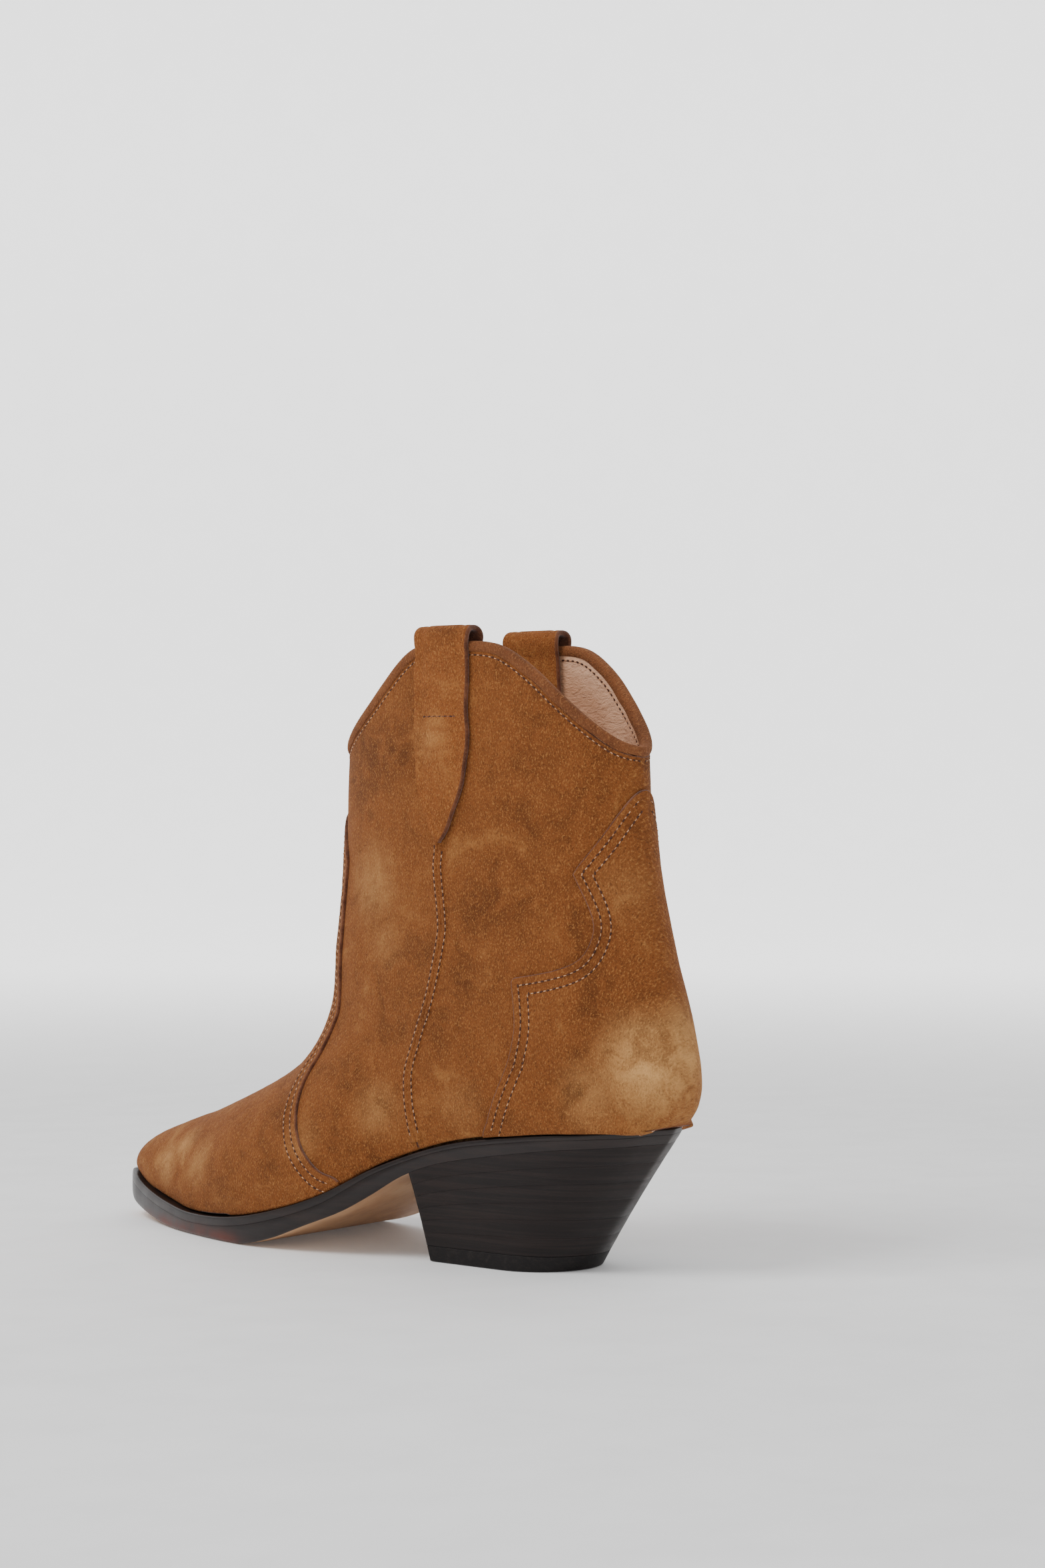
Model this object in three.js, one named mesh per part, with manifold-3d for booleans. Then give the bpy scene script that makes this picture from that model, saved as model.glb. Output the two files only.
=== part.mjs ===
// A pull-on western ankle boot for the left foot, in millimetres, standing on z = 0.
// The toe points along -Y and the outer side of the foot is +X.
// In the drawing values below, u is the distance along the boot (0 at the back of the
// seat, growing towards the toe), x the distance to the outer side, and z the height.

import * as THREE from 'three';
import { mergeVertices } from 'three/addons/utils/BufferGeometryUtils.js';
import Module from 'manifold-3d';

const wasm = await Module();
wasm.setup();

// ---- Overall sizes ----
const lastLength = 267.6;         // back of the heel curve to the toe tip of the last
const ballWidth = 81.4;         // widest breadth of the upper across the ball
const seatHeight = 50.7;        // floor to the top of the seat at the back
const shaftHeight = 217;        // floor to the top line under the pull straps

// ---- Materials of the upper ----
const fitGap = 0.3;             // clearance between any two pieces that touch
const suedeThick = 1.3;         // vamp and counter overlay
const panelThick = 1.3;         // shaft panels, backer, toe puff and heel stiffener
const liningThick = 1.1;
const underlap = 10;            // how far a panel runs on below the piece sewn over it
const marginWidth = 13;         // upper folded in under the insole board
const bindingHeight = 3.2;      // band that wraps the raw top edge
const stripHalfWidth = 2.6;     // raised strip over each side seam
const stripThick = 0.9;

// ---- Bottom ----
const boardThick = 2;
const boardInset = 4;           // insole board clear of the lining at its foot
const sockThick = 1;
const weltThick = 3;            // at the forefoot
const seatWeltThick = 1.6;      // skived under the heel seat
const toeLedge = 3.2;           // sole edge beyond the upper at the toe
const waistLedge = 0.6;
const seatLedge = -1;           // the upper stands over the edge of the seat
const backLedge = -3;           // and most of all round the back of the heel
const shankLength = 108;
const shankWidth = 12;
const shankThick = 1.6;
const shankBack = 24;           // u of its heel end

// ---- Heel ----
const liftCount = 6;            // leather lifts above the rubber top piece
const topPieceThick = 5.5;
const heelBottomBack = 33;      // u of the back of the heel at the floor
const heelBottomFront = 87;     // u of the breast at the floor
const heelBottomHalfWidth = 22;
const heelBottomCentre = 2.5;   // the heel's foot stands a little to the outer side
const nailRadius = 1.1;
const nailLength = 24;
const nailPlaces = [[20, 0], [42, 11], [42, -11], [78, 0]];
const screwRadius = 2.1;
const screwLength = 36;
const screwPlace = [56, 0];
const holeClearance = 0.3;

// ---- Pull straps ----
const strapWidth = 24.5;
const strapThick = 2.2;
const strapCentre = 78.6;       // u of the middle of each strap
const strapTip = 147;           // height of the pointed end on the outside
const strapInnerEnd = 190;      // height of the end stitched inside
const fingerGap = 4.9;          // clear height between the top line and the strap
const strapBulge = 3.8;         // how far the loop swells beyond its two legs
const archFullness = 0.82;      // 1 is a round arch, less is a squarer one
const facetSlack = 0.5;         // flat facets of the lining stand this far inside its curve

// ---- The last, section by section from the toe tip up to the mouth ----
// Each section is a straight line in side view, from its top (or front) point to its
// base (or back) point, with the widest half-breadth, the half-breadth at the base and
// the sideways centre at the top and at the base.
const drawn = { length: 267.6, ballWidth: 81.4, seat: 50.7, shaft: 217, ankle: 100 };
const sections = [
  //  top u, z     base u, z     widest base   centre
  [259.2, 18.2, 259.2, 17.4, 0.6, 0.5, -4, -4],
  [258.8, 21.8, 257.0, 16.7, 6.2, 5.4, -4, -4],
  [255.8, 26.6, 250.4, 15.0, 11.4, 10.2, -4, -4],
  [247.4, 31.8, 239.4, 12.4, 17.2, 15.8, -4, -4],
  [230.0, 38.3, 221.0, 9.6, 25.2, 23.8, -4, -3.8],
  [209.0, 45.2, 200.0, 8.0, 33.2, 31.8, -4, -3.2],
  [190.0, 52.9, 174.0, 9.4, 39.8, 38.4, -3.6, -2],
  [175.5, 60.1, 150.0, 14.0, 40.7, 39.3, -3, 0.4],
  [165.0, 66.8, 127.0, 21.4, 38.2, 35.6, -2.4, 2.8],
  [158.2, 73.8, 103.0, 33.2, 35.8, 30.8, -1.8, 3.2],
  [154.2, 81.4, 76.0, 42.2, 34.0, 28.8, -1.2, 1.4],
  [151.9, 89.8, 45.0, 47.0, 33.2, 28.2, -0.8, 0.3],
  [150.5, 98.2, 18.0, 49.3, 32.8, 24.6, -0.4, 0],
  [149.6, 105.6, 2.0, 50.6, 32.4, 15.6, -0.2, 0],
  [148.8, 112.0, -5.2, 54.2, 32.0, 0.4, 0, 0],
  [147.7, 120.0, -8.4, 66.0, 31.6, 0.4, 0, 0],
  [146.3, 131.0, -5.4, 86.0, 31.2, 0.4, 0, 0],
  [145.3, 147.0, 1.8, 110.0, 30.8, 0.4, 0, 0],
  [145.0, 167.0, 8.4, 142.0, 30.4, 0.4, 0, 0],
  [144.4, 192.0, 10.4, 180.0, 29.8, 0.4, 0, 0],
  [142.8, 232.0, 9.4, 232.0, 28.2, 0.4, 0, 0],
];
const lastRow = sections.length - 1;
const seatRow = 13;             // row where the base line turns up the back
const backRow = 13.9;           // rearmost point of the seat outline
const instepRow = 9;            // most pointed cross-section
const heelCurveRow = 14;        // bluntest back
const breastRow = 9.45;         // row whose base lies at the heel breast
const roundRow = 11.6;          // row where the heel's sides turn into its round back
const skinRows = [0, 0.5, 1, 2, 3, 4, 5, 6, 7, 8, 9, 10, 11, 12, 13, 14, 15, 16, 17, 18, 19, 20];
const columnCount = 20;

// Outline of the tread seen from the side, toe first; the ball is flat on the floor.
const treadLine = [
  [272, 9.8], [250, 4.4], [230, 1.3], [212, 0], [190, -0.5], [168, 0], [151, 3.6],
  [134, 9.8], [119, 15.6], [107, 22.2], [94, 30], [80, 35], [60, 38.8], [30, 43],
  [0, 45.2], [-14, 45.6],
];

// Edges of the upper pieces seen from the side.
const topLine = [
  [154, 180.5], [144.5, 181], [136, 185.2], [117, 198], [100.3, 211.6], [90, 216.4],
  [76, 217], [62, 217], [52, 214.4], [40.9, 207], [29.9, 196.8], [20.4, 188],
  [11.5, 181], [3, 179], [-12, 178.5],
];
const vampEdge = [
  [117, 18], [119.5, 25.9], [127.7, 29.8], [135.7, 36.7], [141.5, 45.1], [145, 53.5],
  [145.6, 62], [142.5, 73], [138, 85],
];
const tongueEdge = [[138, 85], [138.6, 96], [138.2, 113], [136.8, 128], [134.6, 140]];
const tongueTip = [[134.6, 140], [139.5, 149.5], [149, 166]];
const counterFront = [
  [61.5, 38], [59.6, 45.9], [56.4, 51.8], [48.1, 71.7], [45.4, 82.8], [45.6, 91.2],
  [46.9, 101.1],
];
const counterBelly = [
  [46.9, 101.1], [32.6, 103.8], [23.3, 107.4], [19.3, 113.8], [19.3, 122.2], [26.5, 137.2],
];
const counterTip = [[26.5, 137.2], [18, 150.1], [9, 168.5]];
const sideSeam = [
  [86, 30], [87.5, 41], [91, 59.5], [91.2, 70.6], [84, 90.9], [78.5, 112.2], [77.8, 121],
  [80, 138.2], [79.4, 147], [78.6, 190], [78.6, 240],
];
const liningSplit = [[110, 10], [128, 50], [140, 78], [152, 92], [175, 98]];
const puffBack = 205;           // u of the back edge of the toe puff
const stiffenerTop = 95;        // height of the top edge of the heel stiffener

// Layers of the upper, each from its outer to its inner depth below the outermost skin.
const overlayLayer = [0, suedeThick];
const panelLayer = [suedeThick + fitGap, suedeThick + fitGap + panelThick];
const liningLayer = [panelLayer[1] + fitGap, panelLayer[1] + fitGap + liningThick];
const wallThick = liningLayer[1];
const stripLayer = [suedeThick - stripThick, suedeThick];
const bindingLayer = [panelLayer[0], wallThick];

// ---- From drawing values to places ----

// Share of a change in seat height that a point at u takes: all of it at the seat and
// none from the ball forward.
function seatShare(u) {
  return 1 - THREE.MathUtils.smoothstep(u, 14, 165);
}

// Height of a drawn point once the seat and shaft heights are set.
function heightOf(u, z) {
  const shaftShare = Math.max(0, z - drawn.ankle) / (drawn.shaft - drawn.ankle);
  const seatChange = seatHeight - drawn.seat;
  const shaftChange = shaftHeight - drawn.shaft;
  const ankleShare = THREE.MathUtils.smoothstep(z, 60, drawn.ankle);
  const seatPart = Math.max(seatShare(u), ankleShare) * (1 - shaftShare);
  return z + seatChange * seatPart + shaftChange * shaftShare;
}

function alongOf(u) {
  return u * lastLength / drawn.length;
}

function widthOf(x) {
  return x * ballWidth / drawn.ballWidth;
}

function drawnPoint([u, z]) {
  return new THREE.Vector2(alongOf(u), heightOf(u, z));
}

function place(u, x, z) {
  return new THREE.Vector3(x, -u, z);
}

// A line moved sideways by a distance, to the left of its direction.
function offsetLine(line, distance) {
  return line.map((point, k) => {
    const before = line[Math.max(k - 1, 0)];
    const after = line[Math.min(k + 1, line.length - 1)];
    const along = after.clone().sub(before).normalize();
    return new THREE.Vector2(point.x - along.y * distance, point.y + along.x * distance);
  });
}

// A smooth line through drawn points, moved sideways by a shift before it is smoothed.
function smoothLine(points, divisions, shift = 0) {
  return new THREE.SplineCurve(offsetLine(points.map(drawnPoint), shift)).getPoints(divisions);
}

// ---- The last as a surface ----

function columnCurve(first, second, convert) {
  return new THREE.SplineCurve(sections.map((row) => convert(row[first], row[second])));
}

const topCurve = columnCurve(0, 1, (u, z) => drawnPoint([u, z]));
const baseCurve = columnCurve(2, 3, (u, z) => drawnPoint([u, z]));
const breadthCurve = columnCurve(4, 5, (a, b) => new THREE.Vector2(widthOf(a), widthOf(b)));
const centreCurve = columnCurve(6, 7, (a, b) => new THREE.Vector2(widthOf(a), widthOf(b)));

function bell(value, centre, spread) {
  return Math.exp(-(((value - centre) / spread) ** 2));
}

function sectionAt(row) {
  const t = THREE.MathUtils.clamp(row / lastRow, 0, 1);
  const breadth = breadthCurve.getPoint(t);
  const baseHalf = Math.max(breadth.y, 0.3);
  return {
    top: topCurve.getPoint(t),
    base: baseCurve.getPoint(t),
    widest: Math.max(breadth.x, baseHalf + 0.1),
    baseHalf,
    centre: centreCurve.getPoint(t),
    topPower: 1 + 0.15 * bell(row, instepRow, 3),
    basePower: 1 - 0.18 * bell(row, heelCurveRow, 2.5),
  };
}

// Point on a section at share s of the way from its top to its base.
function pointOnSection(section, angle, lastAngle, side) {
  const s = (1 - Math.cos(angle)) / (1 - Math.cos(lastAngle));
  const power = angle < Math.PI / 2 ? section.topPower : section.basePower;
  const half = section.widest * Math.max(Math.sin(angle), 0) ** power;
  const centre = THREE.MathUtils.lerp(section.centre.x, section.centre.y, s);
  const spine = section.top.clone().lerp(section.base, s);
  return place(spine.x, centre + side * half, spine.y);
}

function baseAngle(section) {
  const ratio = Math.min(1, section.baseHalf / section.widest);
  return Math.PI - Math.asin(ratio ** (1 / section.basePower));
}

// Around runs from -1 at the outer base, over 0 at the top, to 1 at the inner base.
function lastPoint(row, around) {
  const section = sectionAt(row);
  const lastAngle = baseAngle(section);
  return pointOnSection(section, Math.abs(around) * lastAngle, lastAngle, around < 0 ? 1 : -1);
}

// Outward direction of the last at a point; the toe tip faces straight forward.
function lastNormal(row, around) {
  if (row < 0.1) {
    return place(1, 0, 0);
  }
  const step = 0.02;
  const nearRow = Math.min(row, lastRow - step);
  const nearAround = THREE.MathUtils.clamp(around, -1 + step, 1 - step);
  const alongStep = lastPoint(nearRow + step, nearAround).sub(lastPoint(nearRow - step, nearAround));
  const aroundStep = lastPoint(nearRow, nearAround + step).sub(lastPoint(nearRow, nearAround - step));
  return alongStep.cross(aroundStep).normalize();
}

function insetPoint(row, around, depth) {
  return lastPoint(row, around).addScaledVector(lastNormal(row, around), -depth);
}

// ---- Closed solids ----

function signedVolume(geometry) {
  const position = geometry.getAttribute('position');
  const index = geometry.getIndex();
  const corner = (k) => new THREE.Vector3().fromBufferAttribute(position, index.getX(k));
  let volume = 0;
  for (let k = 0; k < index.count; k += 3) {
    volume += corner(k).dot(corner(k + 1).cross(corner(k + 2))) / 6;
  }
  return volume;
}

// A solid from any closed geometry, with shared corners joined and faces turned outward.
function solidOf(geometry) {
  const bare = geometry.clone();
  bare.deleteAttribute('normal');
  bare.deleteAttribute('uv');
  const merged = mergeVertices(bare, 1e-4);
  const outward = signedVolume(merged) > 0;
  const triangles = [];
  const index = merged.getIndex().array;
  for (let k = 0; k < index.length; k += 3) {
    const [a, b, c] = [index[k], index[k + 1], index[k + 2]];
    if (a !== b && b !== c && c !== a) {
      triangles.push(...(outward ? [a, b, c] : [a, c, b]));
    }
  }
  const mesh = new wasm.Mesh({
    numProp: 3,
    vertProperties: new Float32Array(merged.getAttribute('position').array),
    triVerts: new Uint32Array(triangles),
  });
  mesh.merge();
  return new wasm.Manifold(mesh);
}

function geometryOf(solid) {
  const mesh = solid.getMesh();
  const geometry = new THREE.BufferGeometry();
  geometry.setAttribute('position', new THREE.BufferAttribute(mesh.vertProperties, 3));
  geometry.setIndex(new THREE.BufferAttribute(mesh.triVerts, 1));
  geometry.computeVertexNormals();
  return geometry;
}

// A skin through rings of equally many points, with flat ends.
function loft(rings) {
  const count = rings[0].length;
  const index = [];
  for (let r = 0; r + 1 < rings.length; r += 1) {
    for (let k = 0; k < count; k += 1) {
      const next = (k + 1) % count;
      const [a, b] = [r * count + k, r * count + next];
      index.push(a, b, b + count, a, b + count, a + count);
    }
  }
  const end = (rings.length - 1) * count;
  for (let k = 1; k + 1 < count; k += 1) {
    index.push(0, k + 1, k);
    index.push(end, end + k, end + k + 1);
  }
  const geometry = new THREE.BufferGeometry();
  const corners = rings.flat().flatMap((point) => point.toArray());
  geometry.setAttribute('position', new THREE.Float32BufferAttribute(corners, 3));
  geometry.setIndex(index);
  return solidOf(geometry);
}

// A solid that reaches right across the boot behind an outline drawn in side view.
function acrossPrism(outline, fromX = -120, toX = 120) {
  const shape = new THREE.Shape(outline);
  const geometry = new THREE.ExtrudeGeometry(shape, { depth: toX - fromX, bevelEnabled: false });
  const turn = new THREE.Matrix4().set(0, 0, 1, fromX, -1, 0, 0, 0, 0, 1, 0, 0, 0, 0, 0, 1);
  return solidOf(geometry.applyMatrix4(turn));
}

function corner(u, z) {
  return new THREE.Vector2(u, z);
}

// Everything in front of, or behind, a line that runs upward.
const farFront = 400;
const farBack = -150;
const farBelow = -60;
const farAbove = 500;

function inFrontOf(line) {
  const [first, last] = [line[0], line[line.length - 1]];
  return acrossPrism([
    ...line, corner(farFront, last.y), corner(farFront, farBelow), corner(first.x, farBelow),
  ]);
}

function behind(line) {
  const [first, last] = [line[0], line[line.length - 1]];
  return acrossPrism([
    ...line, corner(farBack, last.y), corner(farBack, farBelow), corner(first.x, farBelow),
  ]);
}

// Everything above, or below, a line that runs from the toe to the heel.
function above(line) {
  const [first, last] = [line[0], line[line.length - 1]];
  return acrossPrism([
    corner(farFront, farAbove), corner(farFront, first.y), ...line, corner(farBack, last.y),
    corner(farBack, farAbove),
  ]);
}

function below(line) {
  const [first, last] = [line[0], line[line.length - 1]];
  return acrossPrism([
    corner(farFront, farBelow), corner(farFront, first.y), ...line, corner(farBack, last.y),
    corner(farBack, farBelow),
  ]);
}

// ---- Lines of the bottom ----

const featherLine = skinRows.filter((row) => row <= seatRow).map((row) => sectionAt(row).base);
const treadPoints = smoothLine(treadLine, 60);

function heightOnLine(line, u) {
  const k = line.findIndex((point) => point.x <= u);
  if (k === 0) {
    return line[0].y;
  }
  if (k < 0) {
    return line[line.length - 1].y;
  }
  const [a, b] = [line[k - 1], line[k]];
  return THREE.MathUtils.mapLinear(u, a.x, b.x, a.y, b.y);
}

function featherHeight(u) {
  return heightOnLine(featherLine, u);
}

function treadHeight(u) {
  return Math.max(0, heightOnLine(treadPoints, u));
}

function raisedFeather(rise) {
  return featherLine.map((point) => corner(point.x, point.y + rise));
}

// How far the sole edge stands out beyond the upper.
function ledgeAt(row) {
  const toWaist = THREE.MathUtils.smoothstep(row, 3.5, 7.5);
  const toSeat = THREE.MathUtils.smoothstep(row, 8, 10);
  const toBack = THREE.MathUtils.smoothstep(row, 11.5, 13.2);
  return toeLedge + (waistLedge - toeLedge) * toWaist + (seatLedge - waistLedge) * toSeat
    + (backLedge - seatLedge) * toBack;
}

// A point of the seat outline on one side, moved outward in plan by grow.
function featherPoint(row, side, grow) {
  const at = (r) => {
    const section = sectionAt(r);
    return new THREE.Vector2(section.base.x, section.centre.y + side * section.baseHalf);
  };
  const step = 0.03;
  const along = at(Math.min(row + step, backRow)).sub(at(Math.max(row - step, 0)));
  const outward = new THREE.Vector2(along.y, -along.x).normalize().multiplyScalar(side);
  if (row === 0) {
    outward.set(1, 0);
  }
  if (row === backRow) {
    outward.set(-1, 0);
  }
  return at(row).addScaledVector(outward, grow);
}

// Rows that follow the seat outline, closer together at the toe and round the heel.
function outlineRows(firstRow, lastRowUsed) {
  const breaks = [
    0.5, 1, 1.5, 2, 2.5, 3, 4, 5, 6, 7, 7.5, 8, 8.5, 9, breastRow, 9.7, 10, 10.5, 11, 11.6,
    12, 12.4, 12.8, 13.2, 13.6,
  ];
  const between = breaks.filter((row) => row > firstRow + 0.05 && row < lastRowUsed - 0.05);
  return [firstRow, ...between, lastRowUsed];
}

// Rows of an outline moved inward, without those at the toe and the back whose sides have met.
const narrowest = 1;

function openRows(pairs) {
  const met = pairs.map(([outer, inner]) => outer.y - inner.y < narrowest);
  const middle = Math.floor(pairs.length / 2);
  const first = met.lastIndexOf(true, middle) + 1;
  const last = met.indexOf(true, middle);
  return pairs.slice(first, last < 0 ? pairs.length : last);
}

// A sheet that follows the seat outline, between two heights that depend on u. Its outline
// is moved by grow, and then in on every side by clear.
function bottomSheet({ grow, top, bottom, clear = 0, firstRow = 0, lastRowUsed = backRow }) {
  const pairs = outlineRows(firstRow, lastRowUsed)
    .map((row) => [featherPoint(row, 1, grow(row)), featherPoint(row, -1, grow(row))]);
  const kept = grow(firstRow) < 0 ? openRows(pairs) : pairs;
  const rings = kept.map(([outer, inner], k) => {
    const fromEnd = k === 0 ? -clear : (k === kept.length - 1 ? clear : 0);
    const [u, innerU] = [outer.x + fromEnd, inner.x + fromEnd];
    const [side, innerSide] = [outer.y - clear, inner.y + clear];
    return [
      place(u, side, top(u)),
      place(innerU, innerSide, top(innerU)),
      place(innerU, innerSide, bottom(innerU)),
      place(u, side, bottom(u)),
    ];
  });
  return loft(rings);
}

const breastU = sectionAt(breastRow).base.x;

function weltAt(u) {
  const toSeat = 1 - THREE.MathUtils.smoothstep(u, breastU, alongOf(130));
  return THREE.MathUtils.lerp(weltThick, seatWeltThick, toSeat);
}

// ---- The upper ----

// The last shrunk by a depth, floor included, as a solid bag.
function bag(depth) {
  const columns = Array.from({ length: columnCount + 1 }, (_, k) => 2 * k / columnCount - 1);
  const rings = skinRows.map((row) => columns.map((around) => insetPoint(row, around, depth)));
  const solid = loft(rings);
  return depth > 0 ? solid.intersect(above(raisedFeather(depth))) : solid;
}

// Opening in the folded margin under the insole board.
const marginHole = bottomSheet({
  grow: () => -marginWidth,
  top: (u) => featherHeight(u) + wallThick + 2,
  bottom: (u) => featherHeight(u) - 2,
});

function shell([outerDepth, innerDepth]) {
  return bag(outerDepth).subtract(bag(innerDepth)).subtract(marginHole);
}

const overlayShell = shell(overlayLayer);
const panelShell = shell(panelLayer);
const liningShell = shell(liningLayer);

// The top line runs towards the heel, so its left side is the side below it.
const topLineAt = (drop) => smoothLine(topLine, 28, drop);
const belowBinding = below(topLineAt(bindingHeight + fitGap));
const vampLow = smoothLine(vampEdge, 12);
const vampOutline = [...vampLow, ...smoothLine(tongueEdge, 4).slice(1), ...smoothLine(tongueTip, 3).slice(1)];
const counterOutline = [
  ...smoothLine(counterFront, 9),
  ...smoothLine(counterBelly, 10).slice(1),
  ...smoothLine(counterTip, 3).slice(1),
];
const seamAt = (shift) => smoothLine(sideSeam, 18, shift);
const splitAt = (shift) => smoothLine(liningSplit, 6, shift);
const panelFrontAt = (shift) => smoothLine(vampEdge, 10, shift - underlap);
const stiffenerFrontAt = (shift) => smoothLine(counterFront, 8, shift + underlap)
  .filter((point) => point.y < heightOf(0, stiffenerTop) - shift);

function makeVamp() {
  return overlayShell.intersect(inFrontOf(vampOutline));
}

function makeCounterOverlay() {
  return overlayShell.intersect(behind(counterOutline));
}

function makeShaftFront() {
  return panelShell
    .intersect(inFrontOf(seamAt(-fitGap / 2)))
    .intersect(belowBinding)
    .subtract(inFrontOf(panelFrontAt(0)));
}

function makeShaftBack() {
  return panelShell
    .intersect(behind(seamAt(fitGap / 2)))
    .intersect(belowBinding)
    .subtract(behind(stiffenerFrontAt(0)));
}

function makeHeelStiffener() {
  return panelShell.intersect(behind(stiffenerFrontAt(fitGap)));
}

// An upright and a level line in side view, across the whole boot.
function uprightLine(u) {
  return [corner(u, 0), corner(u, shaftHeight)];
}

function levelLine(z) {
  return [corner(1, z), corner(0, z)];
}

function makeVampBacker() {
  const top = panelFrontAt(0).at(-1).y - fitGap;
  return panelShell
    .intersect(inFrontOf(panelFrontAt(-fitGap)))
    .intersect(below(levelLine(top)))
    .subtract(inFrontOf(uprightLine(alongOf(puffBack) - fitGap)));
}

function makeToePuff() {
  return panelShell.intersect(inFrontOf(uprightLine(alongOf(puffBack))));
}

function makeVampLining() {
  return liningShell.intersect(inFrontOf(splitAt(-fitGap / 2)));
}

function makeFrontLining() {
  return liningShell
    .intersect(inFrontOf(seamAt(-fitGap / 2)))
    .intersect(belowBinding)
    .subtract(inFrontOf(splitAt(fitGap / 2)));
}

function makeBackLining() {
  return liningShell
    .intersect(behind(seamAt(fitGap / 2)))
    .intersect(belowBinding);
}

function makeTopBinding() {
  return bag(bindingLayer[0])
    .subtract(bag(bindingLayer[1]))
    .intersect(below(topLineAt(0)))
    .intersect(above(topLineAt(bindingHeight)));
}

// Raised strip over one side seam, from just above the sole to the strap's point.
function makeSeamStrip(side) {
  const lowest = featherHeight(breastU) + wallThick;
  const highest = heightOf(strapCentre, strapTip) - 2;
  const middle = seamAt(0).filter((point) => point.y > lowest && point.y < highest);
  const band = [...offsetLine(middle, stripHalfWidth), ...offsetLine(middle, -stripHalfWidth).reverse()];
  const half = side > 0 ? acrossPrism(band, 0, 120) : acrossPrism(band, -120, 0);
  return bag(stripLayer[0]).subtract(bag(stripLayer[1])).intersect(half);
}

// ---- Pull straps ----

// Row of the last whose section passes through a point of the side view.
function rowThrough(u, z) {
  let [low, high] = [heelCurveRow, lastRow];
  for (let step = 0; step < 30; step += 1) {
    const row = (low + high) / 2;
    const { top, base } = sectionAt(row);
    const height = THREE.MathUtils.mapLinear(u, top.x, base.x, top.y, base.y);
    if (height < z) {
      low = row;
    } else {
      high = row;
    }
  }
  return (low + high) / 2;
}

// Half-breadth of the shaft's outer skin at a point of the side view.
function wallX(u, z, side) {
  const section = sectionAt(rowThrough(u, z));
  const lastAngle = baseAngle(section);
  const s = (section.top.x - u) / (section.top.x - section.base.x);
  const angle = Math.acos(1 - s * (1 - Math.cos(lastAngle)));
  return pointOnSection(section, angle, lastAngle, side).x;
}

// Middle line of a strap as depth below the skin and height, from the outer point over
// the top line to the inner end.
const legOutside = panelLayer[0] - fitGap - strapThick / 2;
const legInside = wallThick + fitGap + facetSlack + strapThick / 2;
const strapShoulder = shaftHeight - 4;
const archRise = shaftHeight + fingerGap + strapThick / 2 - strapShoulder;

function strapPath() {
  const path = [];
  const tip = heightOf(strapCentre, strapTip);
  const innerEnd = heightOf(strapCentre, strapInnerEnd);
  const outerSteps = 12;
  for (let k = 0; k < outerSteps; k += 1) {
    path.push([legOutside, THREE.MathUtils.lerp(tip, strapShoulder, (k / outerSteps) ** 1.3)]);
  }
  const archSteps = 10;
  const middle = (legOutside + legInside) / 2;
  const reach = (legInside - legOutside) / 2;
  for (let k = 0; k <= archSteps; k += 1) {
    const angle = k / archSteps * Math.PI;
    const swell = reach + strapBulge * Math.sin(angle);
    const across = Math.sign(Math.cos(angle)) * Math.abs(Math.cos(angle)) ** archFullness;
    const rise = Math.max(Math.sin(angle), 0) ** archFullness;
    path.push([middle - swell * across, strapShoulder + archRise * rise]);
  }
  path.push([legInside, (strapShoulder + innerEnd) / 2], [legInside, innerEnd]);
  return path;
}

// Half-width of a strap: full along its length, narrowing to a leaf's point outside.
function strapHalfWidth(z) {
  const tip = heightOf(strapCentre, strapTip);
  const leafLength = 36;
  const share = THREE.MathUtils.clamp((z - tip) / leafLength, 0, 1);
  return Math.max(0.6, strapWidth / 2 * Math.sin(share * Math.PI / 2) ** 0.8);
}

function makePullStrap(side) {
  const path = strapPath();
  const columns = [-1, -0.5, 0, 0.5, 1];
  const rings = path.map(([depth, z], k) => {
    const before = path[Math.max(k - 1, 0)];
    const after = path[Math.min(k + 1, path.length - 1)];
    const along = new THREE.Vector2(after[0] - before[0], after[1] - before[1]).normalize();
    const face = (across, half) => {
      const u = alongOf(strapCentre) + across * (k <= 12 ? strapHalfWidth(z) : strapWidth / 2);
      const height = z + along.x * half;
      const skin = wallX(u, Math.min(height, shaftHeight), side);
      return place(u, skin - side * (depth - along.y * half), height);
    };
    const half = strapThick / 2;
    return [
      ...columns.map((across) => face(across, half)),
      ...columns.toReversed().map((across) => face(across, -half)),
    ];
  });
  return loft(rings);
}

// ---- Bottom pieces ----

function makeWelt() {
  return bottomSheet({
    grow: ledgeAt,
    top: (u) => featherHeight(u) - fitGap,
    bottom: (u) => featherHeight(u) - fitGap - weltAt(u),
  });
}

function outsoleTop(u) {
  return featherHeight(u) - 2 * fitGap - weltAt(u);
}

function makeOutsole() {
  return bottomSheet({ grow: ledgeAt, top: outsoleTop, bottom: treadHeight });
}

function makeInsoleBoard() {
  return bottomSheet({
    grow: () => -wallThick - boardInset,
    top: (u) => featherHeight(u) + wallThick + fitGap + boardThick,
    bottom: (u) => featherHeight(u) + wallThick + fitGap,
  });
}

function makeSockLining() {
  return bottomSheet({
    grow: () => -wallThick - boardInset - sockThick,
    top: (u) => featherHeight(u) + wallThick + 2 * fitGap + boardThick + sockThick,
    bottom: (u) => featherHeight(u) + wallThick + 2 * fitGap + boardThick,
  });
}

// A strip along the middle of the waist, between two heights above the feather line.
function waistStrip(grow, low, high) {
  const rings = [];
  const steps = 10;
  for (let k = 0; k <= steps; k += 1) {
    const u = alongOf(shankBack) - grow + k / steps * (shankLength + 2 * grow);
    const half = shankWidth / 2 + grow;
    const [top, bottom] = [featherHeight(u) + high, featherHeight(u) + low];
    rings.push([place(u, half, top), place(u, -half, top), place(u, -half, bottom), place(u, half, bottom)]);
  }
  return loft(rings);
}

const shankBottom = 1.2;

function makeShank() {
  return waistStrip(0, shankBottom + fitGap, shankBottom + fitGap + shankThick);
}

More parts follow.
